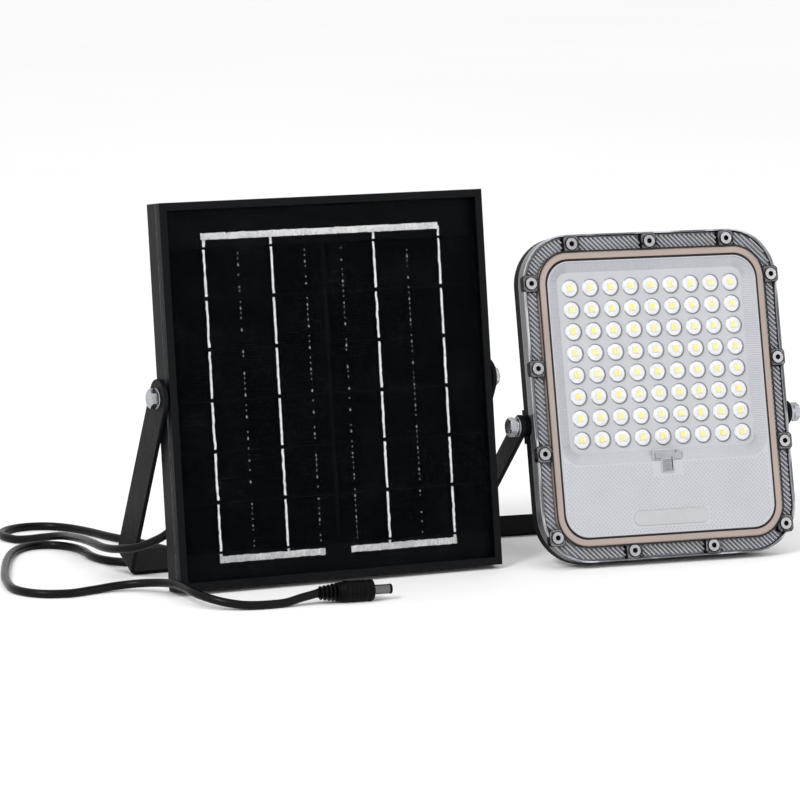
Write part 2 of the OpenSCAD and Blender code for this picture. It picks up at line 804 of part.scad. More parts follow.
module board_screws() {
  color([0.75, 0.75, 0.76]) in_lamp() for (x = [-37, 37], z = [124, 156]) {
    post(x, z, 2.8, 14.2, 15.58);
    post(x, z, 1.5, 15.5, 22);
    difference() {
      post(x, z, 3, 17.22, bulge_d - 3.02);
      post(x, z, 1.51, 17, 22.1);
    }
  }
}

module cover_screws() {
  color([0.8, 0.8, 0.82]) in_lamp() for (s = screw_spots) difference() {
    union() {
      post(s.x, s.y, screw_head_r, 0.1, 3.58);
      post(s.x, s.y, screw_r, 3.5, 13);
    }
    translate([s.x, 2.2, s.y]) rotate([90, 30, 0]) cylinder(r = 1.73, h = 4, $fn = 6);
  }
}

module cover_inserts() {
  color([0.75, 0.6, 0.3]) in_lamp() for (s = screw_spots) difference() {
    post(s.x, s.y, 2.82, cover_d + 0.1, cover_d + 8.4);
    post(s.x, s.y, screw_r + 0.02, cover_d - 1, cover_d + 9);
  }
}

module lamp_gland() {
  color([0.03, 0.03, 0.03]) in_lamp() translate([0, 26, 0]) difference() {
    union() {
      translate([0, 0, 12]) cylinder(r = 4, h = 18);
      translate([0, 0, 20]) cylinder(r = 12 / 2 / cos(30), h = 3.98, $fn = 6);
    }
    translate([0, 0, 11]) cylinder(r = 2.5, h = 20);
  }
}

module lamp_gland_nut() {
  color([0.03, 0.03, 0.03]) in_lamp() translate([0, 26, 0]) difference() {
    union() {
      translate([0, 0, 13]) cylinder(r = 11.5 / 2 / cos(30), h = 6.9, $fn = 6);
      translate([0, 0, 9.5]) cylinder(r = 4.9, h = 3.6);
    }
    translate([0, 0, 11.9]) cylinder(r = 4.05, h = 9);
    translate([0, 0, 9]) cylinder(r = 2.5, h = 9);
  }
}

module at_lamp_pivot() {
  in_lamp() both_sides() translate([0, lamp_pivot_d, lamp_pivot_v]) children();
}

module lamp_pivot_bolts() {
  head = lamp_leg_in + bar_t + 2.6;
  color([0.75, 0.76, 0.78]) at_lamp_pivot() {
    hex_bar(head, head + bolt_head_h, bolt_af);
    bar(head - 18, head + eps, bolt_r);
  }
}

module lamp_flat_washers() {
  out = lamp_leg_in + bar_t;
  color([0.8, 0.8, 0.82]) at_lamp_pivot() ring(out + turn_gap, out + 1.05, washer_r, bolt_r + 0.1);
}

module lamp_spring_washers() {
  out = lamp_leg_in + bar_t + 1.08;
  color([0.7, 0.7, 0.72]) at_lamp_pivot() difference() {
    ring(out, out + 1.5, 5.2, bolt_r + 0.1);
    translate([out + 0.7, 0, 4.2]) rotate([25, 0, 0]) cube([4, 0.8, 4], center = true);
  }
}

module lamp_inserts() {
  color([0.75, 0.6, 0.3]) at_lamp_pivot() ring(lamp_w / 2 - 8.8, lamp_w / 2 + 2.4, 4.2, bolt_r + 0.02);
}

frame_left();
frame_right();
frame_top();
frame_bottom();
corner_keys();
solar_glass();
cell_ribbons();
solar_cells();
backsheet();
junction_box();
junction_lid();
junction_terminals();
blocking_diode();
panel_gland();
panel_gland_nut();
panel_pivot_bolts();
panel_washers();
panel_spacers();
panel_nuts();
panel_bracket();
cord_lead();
cord_loops();
cord_coil();
cord_tie();
cord_end();
plug_relief();
plug_body();
plug_sleeve();
plug_insulator();
plug_contact();
lamp_bracket();
lamp_housing();
cover_frame();
cover_gasket();
lens_plate();
led_lenses();
led_chips();
led_board();
heat_plate();
sensor_window();
infrared_receiver();
indicator_window();
indicator_board();
battery_cells();
battery_holder();
control_board();
board_parts();
board_screws();
cover_screws();
cover_inserts();
lamp_gland();
lamp_gland_nut();
lamp_pivot_bolts();
lamp_spring_washers();
lamp_flat_washers();
lamp_inserts();
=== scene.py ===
import json
import math

import bmesh
import bpy
import numpy as np
from mathutils import Matrix, Vector, noise


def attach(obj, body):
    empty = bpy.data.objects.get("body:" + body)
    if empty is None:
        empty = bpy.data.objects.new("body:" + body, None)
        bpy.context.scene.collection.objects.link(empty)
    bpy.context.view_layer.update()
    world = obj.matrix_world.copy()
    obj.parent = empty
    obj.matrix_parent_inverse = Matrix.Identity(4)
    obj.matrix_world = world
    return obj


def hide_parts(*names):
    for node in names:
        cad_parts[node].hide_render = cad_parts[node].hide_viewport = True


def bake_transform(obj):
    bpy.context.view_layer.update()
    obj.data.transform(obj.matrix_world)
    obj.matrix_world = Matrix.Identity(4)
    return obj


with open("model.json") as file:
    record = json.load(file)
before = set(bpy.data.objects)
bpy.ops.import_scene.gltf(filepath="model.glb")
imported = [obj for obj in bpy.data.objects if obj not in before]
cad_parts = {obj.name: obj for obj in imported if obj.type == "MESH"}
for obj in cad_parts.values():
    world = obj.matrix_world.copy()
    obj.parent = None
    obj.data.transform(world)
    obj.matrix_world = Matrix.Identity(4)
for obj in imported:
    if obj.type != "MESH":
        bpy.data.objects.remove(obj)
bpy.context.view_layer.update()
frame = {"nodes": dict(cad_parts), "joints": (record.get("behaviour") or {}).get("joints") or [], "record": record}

# ------------------------ places
# Local axes of the two units, in millimetres: x across, y back from the front face, z up from the bottom
MM = 0.001
PANEL_LEAN = math.radians(8.9)
PANEL_PIVOT = (0, 11, 110)
LAMP_LEAN = math.radians(14.2)
LAMP_YAW = math.radians(4.9)
LAMP_PIVOT = (0, 14, 82.8)
JOINTS = {joint["name"]: joint for joint in frame["joints"]}


def unit_place(joint_name, yaw, lean, pivot):
    """From a unit's local millimetres to the row frame, with its pivot on the joint's own place."""
    at = Matrix.Translation(JOINTS[joint_name]["pos_m"])
    turn = Matrix.Rotation(-yaw, 4, "Z") @ Matrix.Rotation(-lean, 4, "X")
    return at @ turn @ Matrix.Scale(MM, 4) @ Matrix.Translation(-Vector(pivot))


PANEL = unit_place("panel_tilt", 0, PANEL_LEAN, PANEL_PIVOT)
LAMP = unit_place("lamp_tilt", LAMP_YAW, LAMP_LEAN, LAMP_PIVOT)
# The floor's own axes: the lead's route is given from the panel's middle at its front bottom edge
ROUTE = Matrix.Scale(MM, 4) @ Matrix.Translation((-95, -32, 0))
PLUG_START = (-40, -47.2, 6.15)
PLUG_TURN = math.radians(-6)
PLUG = ROUTE @ Matrix.Translation(PLUG_START) @ Matrix.Rotation(PLUG_TURN, 4, "Z")
PLUG = PLUG @ Matrix.Rotation(math.pi / 2, 4, "Y")


def local_points(name, place):
    """A CAD node's vertices in local millimetres."""
    back = np.array(place.inverted())
    points = np.array([v.co for v in frame["nodes"][name].data.vertices], float)
    return points @ back[:3, :3].T + back[:3, 3]


def span(name, place):
    """Lowest and highest corner of a CAD node in local millimetres."""
    points = local_points(name, place)
    return points.min(0), points.max(0)


def solids_of(name, place, apart):
    """Middles of a node's solids in local millimetres. Points nearer than apart belong to one solid."""
    groups = []
    for p in local_points(name, place):
        near = [g for g in groups if np.linalg.norm(g[0] - p) < apart]
        if near:
            near[0].append(p)
        else:
            groups.append([p])
    return [(np.min(g, 0) + np.max(g, 0)) / 2 for g in groups]


# ------------------------ camera
CAMERA_TARGET = Vector((-0.0298, 0.0304, 0.0930))
CAMERA_DISTANCE = 2.6
CAMERA_AZIMUTH = math.radians(26.583)
CAMERA_ELEVATION = math.radians(9.273)
CAMERA_ROLL = math.radians(0.704)
CAMERA_LENS = 197.98


def make_camera():
    camera = bpy.data.objects.new("camera", bpy.data.cameras.new("camera"))
    bpy.context.scene.collection.objects.link(camera)
    upright = math.pi / 2 - CAMERA_ELEVATION
    turn = Matrix.Rotation(-CAMERA_AZIMUTH, 4, "Z") @ Matrix.Rotation(upright, 4, "X")
    turn = turn @ Matrix.Rotation(CAMERA_ROLL, 4, "Z")
    ahead = turn @ Vector((0, 0, -1))
    camera.matrix_world = Matrix.Translation(CAMERA_TARGET - ahead * CAMERA_DISTANCE) @ turn
    camera.data.lens = CAMERA_LENS
    camera.data.sensor_width = 36
    camera.data.clip_start = 0.1
    camera.data.clip_end = 30
    bpy.context.scene.camera = camera


make_camera()

# ------------------------ nodes of the materials
def add_node(tree, kind, inputs=(), **settings):
    """One shader node, its settings and its inputs, each a value or another node's output."""
    made = tree.nodes.new("ShaderNode" + kind)
    for key, value in settings.items():
        setattr(made, key, value)
    for key, value in dict(inputs).items():
        if isinstance(value, bpy.types.NodeSocket):
            tree.links.new(value, made.inputs[key])
        else:
            made.inputs[key].default_value = value
    return made


def local_coordinates(tree, place):
    """A surface's coordinates in a unit's local millimetres, so that patterns follow its axes."""
    position = add_node(tree, "TexCoord").outputs["Object"]
    location, turn, scale = place.inverted().decompose()
    inputs = {"Vector": position, "Location": location, "Rotation": turn.to_euler(), "Scale": scale}
    return add_node(tree, "Mapping", inputs).outputs["Vector"]


def noise_of(tree, vector, scale, detail=3.0, rough=0.5):
    """Soft noise, scale in cycles per unit of the vector."""
    inputs = {"Vector": vector, "Scale": scale, "Detail": detail, "Roughness": rough}
    return add_node(tree, "TexNoise", inputs).outputs["Fac"]


def ranged(tree, value, low, high, to_low, to_high):
    """A value mapped from one range to another, and held inside it."""
    inputs = {"Value": value, "From Min": low, "From Max": high, "To Min": to_low, "To Max": to_high}
    return add_node(tree, "MapRange", inputs).outputs["Result"]


def math_of(tree, operation, a, b=0.0):
    """One operation on two numbers, or on the first of them."""
    return add_node(tree, "Math", {0: a, 1: b}, operation=operation).outputs[0]


def mixed(tree, factor, a, b):
    """Colour a where the factor is 0, b where it is 1."""
    mix = add_node(tree, "Mix", {0: factor, 6: a, 7: b}, data_type="RGBA")
    return mix.outputs[2]


def add_bump(tree, shader, height, strength, distance):
    bump = add_node(tree, "Bump", {"Height": height, "Strength": strength, "Distance": distance})
    tree.links.new(bump.outputs["Normal"], shader.inputs["Normal"])


def set_surface(tree, shader, colour, rough):
    tree.links.new(colour, shader.inputs["Base Color"])
    tree.links.new(rough, shader.inputs["Roughness"])


def shade(colour, factor):
    return tuple(min(1.0, c * factor) for c in colour) + (1.0,)


def new_material(name, metallic=0.0, specular=0.5, coat=0.0, alpha=None):
    """A new material with its uniform numbers set. Gives the material, its tree and its shader."""
    material = bpy.data.materials.new(name)
    material.use_nodes = True
    tree = material.node_tree
    shader = tree.nodes["Principled BSDF"]
    shader.inputs["Metallic"].default_value = metallic
    shader.inputs["Specular IOR Level"].default_value = specular
    shader.inputs["Coat Weight"].default_value = coat
    shader.inputs["Coat Roughness"].default_value = 0.08
    if alpha is not None:
        shader.inputs["Alpha"].default_value = alpha
    return material, tree, shader


def finish(
    name, colour, rough, specular=0.5, coat=0.0, alpha=None, mottle=0.12, grain=900, depth=0.00002, cloud=35
):
    """Moulded or painted surface: soft mottling of its colour and gloss, and a fine grain in its bump."""
    material, tree, shader = new_material(name, 0.0, specular, coat, alpha)
    position = add_node(tree, "TexCoord").outputs["Object"]
    clouds = noise_of(tree, position, cloud, 4.0)
    fine = noise_of(tree, position, grain, 2.0)
    spread = ranged(tree, clouds, 0.3, 0.7, 0.0, 1.0)
    mottled = mixed(tree, spread, shade(colour, 1 - mottle), shade(colour, 1 + mottle))
    soft = ranged(tree, clouds, 0.3, 0.7, -0.04, 0.04)
    gloss = math_of(tree, "ADD", soft, ranged(tree, fine, 0.3, 0.7, -0.05, 0.05))
    set_surface(tree, shader, mottled, math_of(tree, "ADD", gloss, rough))
    add_bump(tree, shader, fine, 0.6, depth)
    return material


def brushed(name, colour, rough):
    """Metal with fine lines drawn along the frame's x axis."""
    material, tree, shader = new_material(name, 1.0)
    position = add_node(tree, "TexCoord").outputs["Object"]
    drawn = add_node(tree, "Mapping", {"Vector": position, "Scale": (1, 30, 30)}).outputs["Vector"]
    lines = noise_of(tree, drawn, 60.0, 4.0)
    stains = ranged(tree, noise_of(tree, position, 120.0, 3.0), 0.3, 0.75, 0.0, 1.0)
    stained = mixed(tree, stains, shade(colour, 1.08), shade(colour, 0.8))
    set_surface(tree, shader, stained, ranged(tree, lines, 0.3, 0.7, rough - 0.07, rough + 0.1))
    add_bump(tree, shader, lines, 0.35, 0.00002)
    return material


# ------------------------ mesh building
class Shape:
    """Vertices and faces gathered in local millimetres."""

    def __init__(self):
        self.points = []
        self.faces = []

    def add(self, points, faces):
        start = len(self.points)
        self.points.extend(tuple(float(c) for c in p) for p in points)
        self.faces.extend(tuple(start + i for i in face) for face in faces)

    def box(self, low, high):
        x0, y0, z0 = low
        x1, y1, z1 = high
        corners = [(x, y, z) for z in (z0, z1) for y in (y0, y1) for x in (x0, x1)]
        sides = [(0, 2, 3, 1), (4, 5, 7, 6), (0, 1, 5, 4), (2, 6, 7, 3), (0, 4, 6, 2), (1, 3, 7, 5)]
        self.add(corners, sides)

    def loft(self, rings, closed=False, caps=True):
        """Rings of equally many points, joined in turn. A closed loft's last ring joins its first."""
        count = len(rings[0])
        faces = []
        for i in range(len(rings) if closed else len(rings) - 1):
            a, b = i * count, (i + 1) % len(rings) * count
            faces += [(a + k, a + (k + 1) % count, b + (k + 1) % count, b + k) for k in range(count)]
        if caps and not closed:
            faces.append(tuple(range(count - 1, -1, -1)))
            faces.append(tuple(range((len(rings) - 1) * count, len(rings) * count)))
        self.add([p for ring in rings for p in ring], faces)

    def lathe(self, profile, middle=(0, 0, 0), axis="Z", steps=48, radius=None, caps=True):
        """Turned shape: profile is (radius, height) pairs, and radius(angle, r, h) may reshape a ring."""
        rings = []
        for r, h in profile:
            ring = []
            for k in range(steps):
                angle = 2 * math.pi * k / steps
                reach = radius(angle, r, h) if radius else r
                u, v = reach * math.cos(angle), reach * math.sin(angle)
                p = {"X": (h, u, v), "Y": (v, h, u), "Z": (u, v, h)}[axis]
                ring.append(tuple(a + b for a, b in zip(p, middle)))
            rings.append(ring)
        self.loft(rings, caps=caps)


def make_piece(name, shape, place, body, slot, material, smooth=40, bevel=0.0):
    """A mesh object from a shape in local millimetres, on a body. Edges sharper than smooth stay sharp."""
    mesh = bpy.data.meshes.new(name)
    mesh.from_pydata([place @ Vector(p) for p in shape.points], [], shape.faces)
    mesh.validate()
    mesh.update()
    piece = bpy.data.objects.new(name, mesh)
    bpy.context.scene.collection.objects.link(piece)
    tidy_mesh(piece, smooth)
    if bevel:
        add_bevel(piece, bevel, smooth)
    mesh.materials.append(material)
    if body:
        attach(piece, body)
    return piece


def lamp_piece(name, shape, slot, material, **settings):
    return make_piece(name, shape, LAMP, "lamp", slot, M[material], **settings)


def panel_piece(name, shape, slot, material, **settings):
    return make_piece(name, shape, PANEL, "panel", slot, M[material], **settings)


def tidy_mesh(piece, smooth):
    """Faces all turned outwards, smooth shading, and sharp edges by angle."""
    work = bmesh.new()
    work.from_mesh(piece.data)
    bmesh.ops.recalc_face_normals(work, faces=work.faces)
    for face in work.faces:
        face.smooth = True
    for edge in work.edges:
        edge.smooth = len(edge.link_faces) == 2 and edge.calc_face_angle(0.0) < math.radians(smooth)
    work.to_mesh(piece.data)
    work.free()


def add_bevel(piece, width, angle=35):
    bevel = piece.modifiers.new("round_edges", "BEVEL")
    bevel.width = width * MM
    bevel.segments = 2
    bevel.limit_method = "ANGLE"
    bevel.angle_limit = math.radians(angle)
    bevel.use_clamp_overlap = True
    weighted = piece.modifiers.new("even_shading", "WEIGHTED_NORMAL")
    weighted.keep_sharp = True


def rounded_outline(width, low, high, radius, depth, steps=10):
    """Ring of points round a rectangle with round corners, at one depth."""
    half, bottom, top = width / 2 - radius, low + radius, high - radius
    corners = [(half, top), (-half, top), (-half, bottom), (half, bottom)]
    ring = []
    for quarter, (x, z) in enumerate(corners):
        for k in range(steps + 1):
            angle = math.pi / 2 * (quarter + k / steps)
            ring.append((x + radius * math.cos(angle), depth, z + radius * math.sin(angle)))
    return ring


def outside_by(x, z, width, low, high, radius):
    """How far a point is outside a rectangle with round corners, negative inside it."""
    dx = abs(x) - (width / 2 - radius)
    dz = abs(z - (low + high) / 2) - ((high - low) / 2 - radius)
    return math.hypot(max(dx, 0), max(dz, 0)) + min(max(dx, dz), 0) - radius


# ------------------------ lead
CORD_D = 4.8
CORD_SIDES = 20
CORD_STEP = 2.4
LEAD_ROUTE = [
    (-46, 22.4, 64.1), (-58, 23, 62.8), (-70, 26, 57.5), (-80, 29.5, 48), (-88, 33, 38), (-96, 37, 29),
    (-103, 42, 24), (-109, 48, 20.5),
]
LOOPS_ROUTE = [
    (-114, 55, 18.7), (-117.5, 64, 17.2), (-119, 76, 16.2), (-118, 92, 15.5), (-116, 110, 14),
    (-114, 127, 12), (-112.5, 143, 9.9), (-113.5, 156, 8), (-119, 168, 5.4), (-125.5, 176, 3.4),
    (-131, 183, 2.4), (-134, 193, 2.4), (-131.5, 204, 2.4), (-123, 213, 2.4), (-111, 217, 2.4),
    (-98, 214, 2.4), (-88, 204, 2.4), (-81, 188, 2.4), (-76, 170, 2.4), (-70, 154, 2.4),
    (-65, 140, 2.4), (-61, 122, 2.4), (-53, 109, 2.4), (-39.5, 103.5, 2.4), (-26, 107, 2.4),
    (-18, 117, 2.4), (-16.3, 130, 2.4),
]
END_ROUTE = [
    (3, 107.6, 6.2), (-9, 104.8, 4.2), (-20, 100, 2.7), (-33, 94.5, 2.4), (-50, 90, 2.4),
    (-70, 86.5, 2.4), (-85, 87.5, 2.4), (-97, 93, 2.4), (-106, 104.5, 2.4), (-108.5, 118, 2.4),
    (-107, 132, 2.4), (-108.5, 146, 2.4), (-116, 157, 2.4), (-129, 160.5, 2.4), (-142.5, 152, 2.4),
    (-156, 131, 2.4), (-170, 100, 2.4), (-180, 73, 2.4), (-185, 46.5, 2.4), (-177, 30, 2.4),
    (-161, 24, 2.4), (-145, 27.5, 2.4), (-130, 29, 3.2), (-118, 23, 4.8), (-110, 12, 6.6),
    (-106.5, 0, 7.8), (-105.5, -12, 7.8), (-105, -23, 7.2), (-101, -33, 5.8), (-94, -41, 4.2),
    (-84, -46, 2.8), (-72, -48, 2.4), (-60, -48, 2.6), (-50, -47.3, 4.4), (-40, -47.2, 6.15),
]
COIL_MIDDLE = (15, 140)
COIL_MID_R = 27
COIL_TURNS = 11.75
COIL_POINTS = 36
# The turns fill a grid, 3 across and 4 high, in this order: both ends are on the outside, near the floor
COIL_PLACES = [
    (1, 0), (0, 0), (-1, 0), (-1, 1), (-1, 2), (-1, 3), (0, 3), (1, 3), (1, 2), (0, 2), (0, 1), (1, 1),
]
CROSSING_FIRST = 0.82
CROSSING_STAGGER = 0.09
CROSSING_LENGTH = 0.32


def coil_points():
    """The coil's turns, clockwise from its left side. Part of each turn crosses to the next place."""
    moves = [np.subtract(b, a) for a, b in zip(COIL_PLACES, COIL_PLACES[1:])]
    corners = np.cumsum([0] + [int(tuple(a) != tuple(b)) for a, b in zip(moves, moves[1:])])
    points = []
    for i in range(int(COIL_TURNS * COIL_POINTS) + 1):
        done = i / COIL_POINTS
        turn = min(int(done), len(COIL_PLACES) - 1)
        place = np.array(COIL_PLACES[turn], float)
        if turn < len(moves):
            start = CROSSING_FIRST - CROSSING_STAGGER * corners[turn] - CROSSING_LENGTH / 2
            t = min(max((done - turn - start) / CROSSING_LENGTH, 0), 1)
            place += moves[turn] * t * t * (3 - 2 * t)
        radius = COIL_MID_R + CORD_D * place[0]
        angle = math.pi - 2 * math.pi * done
        x, y = COIL_MIDDLE[0] + radius * math.cos(angle), COIL_MIDDLE[1] + radius * math.sin(angle)
        points.append((x, y, CORD_D / 2 + CORD_D * place[1]))
    return points


def smooth_route(points, step):
    """Points every step millimetres along a smooth curve through a route's points, none below the floor."""
    p = [np.array(q, float) for q in points]
    p = [2 * p[0] - p[1]] + p + [2 * p[-1] - p[-2]]
    line = []
    for a, b, c, d in zip(p, p[1:], p[2:], p[3:]):
        count = max(1, math.ceil(np.linalg.norm(c - b) / step))
        for k in range(count):
            t = k / count
            second = 2 * a - 5 * b + 4 * c - d
            third = 3 * b - a - 3 * c + d
            line.append(0.5 * (2 * b + (c - a) * t + second * t * t + third * t**3))
    line.append(p[-2])
    for q in line:
        q[2] = max(q[2], CORD_D / 2)
    return line


def tube(line, radius, sides):
    """Rings round a line, each square to it and turned as little as possible from the last."""
    rings = []
    way = [np.subtract(line[min(i + 1, len(line) - 1)], line[max(i - 1, 0)]) for i in range(len(line))]
    way = [w / np.linalg.norm(w) for w in way]
    side = np.cross(way[0], (0, 0, 1))
    for p, w in zip(line, way):
        side = side - w * (side @ w)
        side = side / np.linalg.norm(side)
        up = np.cross(side, w)
        rings.append([
            tuple(p + radius * (side * math.cos(a) + up * math.sin(a)))
            for a in (2 * math.pi * k / sides for k in range(sides))
        ])
    return rings


def make_cord(material):
    line = smooth_route(LEAD_ROUTE + LOOPS_ROUTE + coil_points() + END_ROUTE, CORD_STEP)
    shape = Shape()
    shape.loft(tube(line, CORD_D / 2, CORD_SIDES))
    cord = make_piece("cord", shape, ROUTE, None, "cord_sheath", material, smooth=60)
    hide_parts("cord_lead", "cord_loops", "cord_coil", "cord_end")
    path = [tuple(ROUTE @ Vector(p)) for p in line]
    length = sum((Vector(b) - Vector(a)).length for a, b in zip(path, path[1:]))
    return cord, path, length


# ------------------------ materials
def glass_material():
    """Textured cover glass over the cells: nearly clear, with fine specks of painted glint in its surface."""
    material, tree, shader = new_material("panel_glass", specular=0.015)
    position = local_coordinates(tree, PANEL)
    cloud = noise_of(tree, position, 0.05, 4.0)
    specks = noise_of(tree, position, 2.4, 2.0, 0.8)
    glint_field = math_of(tree, "ADD", specks, math_of(tree, "MULTIPLY", cloud, 0.22))
    # Where the specks pass a threshold they get a painted glint: a lighter colour and less clearness
    painted_glints = ranged(tree, glint_field, 0.76, 0.86, 0.0, 1.0)
    colour = mixed(tree, painted_glints, (0.0006, 0.0009, 0.0012, 1), (0.12, 0.13, 0.14, 1))
    tree.links.new(math_of(tree, "ADD", math_of(tree, "MULTIPLY", painted_glints, 0.4), 0.16), shader.inputs["Alpha"])
    set_surface(tree, shader, colour, ranged(tree, cloud, 0.3, 0.7, 0.18, 0.32))
    add_bump(tree, shader, specks, 0.5, 0.00005)
    return material


FINGER_PITCH = 1.75


def cell_material():
    """Near-black silicon with fine printed finger lines across each cell."""
    material, tree, shader = new_material("solar_cell", specular=0.01)
    position = local_coordinates(tree, PANEL)
    split = add_node(tree, "SeparateXYZ", {0: position})
    height = math_of(tree, "MULTIPLY", split.outputs["Z"], 1 / FINGER_PITCH)
    near_line = math_of(tree, "ABSOLUTE", math_of(tree, "SUBTRACT", math_of(tree, "FRACT", height), 0.5))
    line = ranged(tree, near_line, 0.07, 0.16, 1.0, 0.0)
    worn = ranged(tree, noise_of(tree, position, 0.5, 3.0), 0.35, 0.65, 0.35, 1.0)
    cloud = ranged(tree, noise_of(tree, position, 0.03, 3.0), 0.3, 0.7, 0.0, 1.0)
    silicon = mixed(tree, cloud, (0.0006, 0.0009, 0.0012, 1), (0.0014, 0.0021, 0.0029, 1))
    printed = math_of(tree, "MULTIPLY", line, worn)
    colour = mixed(tree, printed, silicon, (0.0055, 0.008, 0.011, 1))
    set_surface(tree, shader, colour, ranged(tree, cloud, 0.0, 1.0, 0.3, 0.42))
    add_bump(tree, shader, line, 0.3, 0.00002)
    return material


def ribbon_material():
    """Tinned ribbon: bright, a little uneven, with dark flux specks."""
    material, tree, shader = new_material("silver_ribbon", metallic=0.35)
    position = local_coordinates(tree, PANEL)
    specks = ranged(tree, noise_of(tree, position, 1.3, 3.0, 0.75), 0.56, 0.64, 0.0, 1.0)
    cloud = ranged(tree, noise_of(tree, position, 0.12, 3.0), 0.35, 0.65, 0.0, 1.0)
    bright = mixed(tree, cloud, (1.0, 1.0, 1.0, 1), (0.86, 0.87, 0.90, 1))
    colour = mixed(tree, specks, bright, (0.30, 0.30, 0.32, 1))
    set_surface(tree, shader, colour, ranged(tree, cloud, 0.0, 1.0, 0.35, 0.55))
    add_bump(tree, shader, noise_of(tree, position, 0.9, 3.0), 0.6, 0.0001)
    return material


def phosphor_material():
    """Yellow phosphor, in soft patches of two shades."""
    material, tree, shader = new_material("led_phosphor", specular=0.4)
    position = local_coordinates(tree, LAMP)
    cloud = ranged(tree, noise_of(tree, position, 0.5, 3.0), 0.35, 0.65, 0.0, 1.0)
    colour = mixed(tree, cloud, (0.86, 0.70, 0.05, 1), (0.92, 0.80, 0.14, 1))
    set_surface(tree, shader, colour, ranged(tree, cloud, 0.0, 1.0, 0.4, 0.5))
    return material


def cover_side_material():
    """The clear cover's side wall: grey, with a long painted highlight streak near its front edge and a darker
    band further back.
    """
    material, tree, shader = new_material("cover_side", specular=0.5)
    position = local_coordinates(tree, LAMP)
    depth = add_node(tree, "SeparateXYZ", {0: position}).outputs["Y"]
    wander = ranged(tree, noise_of(tree, position, 0.045, 2.0), 0.3, 0.7, -1.1, 1.1)
    place = math_of(tree, "ADD", depth, wander)
    # Distance from the wandering line of the painted highlight
    light = math_of(tree, "ABSOLUTE", math_of(tree, "SUBTRACT", place, 2.9))
    dark = math_of(tree, "ABSOLUTE", math_of(tree, "SUBTRACT", depth, 6.9))
    painted_highlight = ranged(tree, light, 0.5, 1.3, 1.0, 0.0)
    base = mixed(tree, painted_highlight, (0.11, 0.113, 0.124, 1), (0.50, 0.51, 0.55, 1))
    colour = mixed(tree, ranged(tree, dark, 2.6, 3.4, 1.0, 0.0), base, (0.060, 0.062, 0.070, 1))
    set_surface(tree, shader, colour, ranged(tree, wander, -1.0, 1.0, 0.14, 0.26))
    return material


def floor_material():
    material, tree, shader = new_material("pale_floor", specular=0.2)
    position = add_node(tree, "TexCoord").outputs["Object"]
    cloud = ranged(tree, noise_of(tree, position, 1.5, 2.0), 0.3, 0.7, 0.0, 1.0)
    colour = mixed(tree, cloud, (0.93, 0.93, 0.93, 1), (0.95, 0.95, 0.95, 1))
    tree.links.new(colour, shader.inputs["Base Color"])
    shader.inputs["Roughness"].default_value = 0.8
    return material


# Base colour, roughness, and what differs from the usual finish
FINISHES = {
    "black_aluminium": ((0.0034, 0.0038, 0.0045), 0.42, {"specular": 0.07, "grain": 1600}),
    # The grey of the groove's edges is a painted highlight
    "groove_metal": ((0.075, 0.077, 0.082), 0.3, {"specular": 0.3, "mottle": 0.5, "cloud": 60}),
    "black_sheet": ((0.0020, 0.0026, 0.0032), 0.5, {"specular": 0.05, "cloud": 25, "mottle": 0.25}),
    "black_plastic": ((0.014, 0.014, 0.015), 0.56, {"specular": 0.4, "grain": 1800, "depth": 0.00005}),
    "white_plastic": ((0.72, 0.72, 0.7), 0.45, {}),
    "black_epoxy": ((0.016, 0.016, 0.017), 0.35, {}),
    "black_nylon": ((0.012, 0.012, 0.013), 0.46, {"specular": 0.4, "grain": 1400}),
    "black_rubber": ((0.015, 0.015, 0.015), 0.7, {"specular": 0.3}),
    "black_steel": ((0.0042, 0.0045, 0.0052), 0.5, {"specular": 0.075, "grain": 520, "depth": 0.00006}),
    "cord_sheath": ((0.0014, 0.0015, 0.0017), 0.32, {"specular": 0.15, "mottle": 0.2, "grain": 700}),
    "plug_rubber": ((0.0012, 0.0013, 0.0015), 0.4, {"specular": 0.07, "grain": 1200}),
    "housing_black": ((0.0022, 0.0024, 0.0028), 0.5, {"specular": 0.045, "grain": 700, "depth": 0.00005}),
    "smoked_cover": ((0.30, 0.305, 0.325), 0.14, {"alpha": 0.3, "grain": 300, "depth": 0.00001}),
    "cover_rib": ((0.42, 0.425, 0.46), 0.3, {}),
    "cover_bed": ((0.20, 0.203, 0.222), 0.35, {"mottle": 0.2, "cloud": 120}),
    "well_floor": ((0.24, 0.243, 0.262), 0.3, {"mottle": 0.3, "cloud": 300}),
    # The dots' darker grey is painted shade
    "optic_dot": ((0.355, 0.36, 0.39), 0.4, {"mottle": 0.05}),
    "lens_cup": ((0.74, 0.745, 0.765), 0.4, {"mottle": 0.1, "cloud": 260}),
    # A grey ring of painted shadow round each lens
    "lens_collar": ((0.17, 0.173, 0.19), 0.35, {"mottle": 0.2, "cloud": 150}),
    "receiver_grey": ((0.31, 0.315, 0.345), 0.35, {"mottle": 0.12, "cloud": 200}),
    "receiver_dark": ((0.20, 0.203, 0.222), 0.35, {"mottle": 0.25, "cloud": 300}),
    # The pale patch of painted reflection beside each LED's phosphor
    "pale_phosphor": ((0.84, 0.78, 0.40), 0.4, {"mottle": 0.06, "cloud": 200}),
    # A near-black of painted shade for gaps, wells, sockets and slots
    "dark_well": ((0.010, 0.010, 0.011), 0.4, {"specular": 0.2}),
    "tan_silicone": ((0.345, 0.278, 0.248), 0.5, {"mottle": 0.07, "grain": 1500}),
    "white_optic": ((0.455, 0.46, 0.495), 0.34, {"mottle": 0.03, "grain": 700}),
    "clear_lens": ((0.80, 0.81, 0.84), 0.08, {"coat": 0.4, "alpha": 0.2, "mottle": 0.04}),
    "white_board": ((0.66, 0.665, 0.69), 0.4, {"mottle": 0.05}),
    "frosted_window": ((0.465, 0.475, 0.50), 0.3, {"alpha": 0.92, "mottle": 0.04}),
    "green_board": ((0.02, 0.12, 0.05), 0.35, {}),
    "battery_sleeve": ((0.03, 0.12, 0.4), 0.3, {}),
}
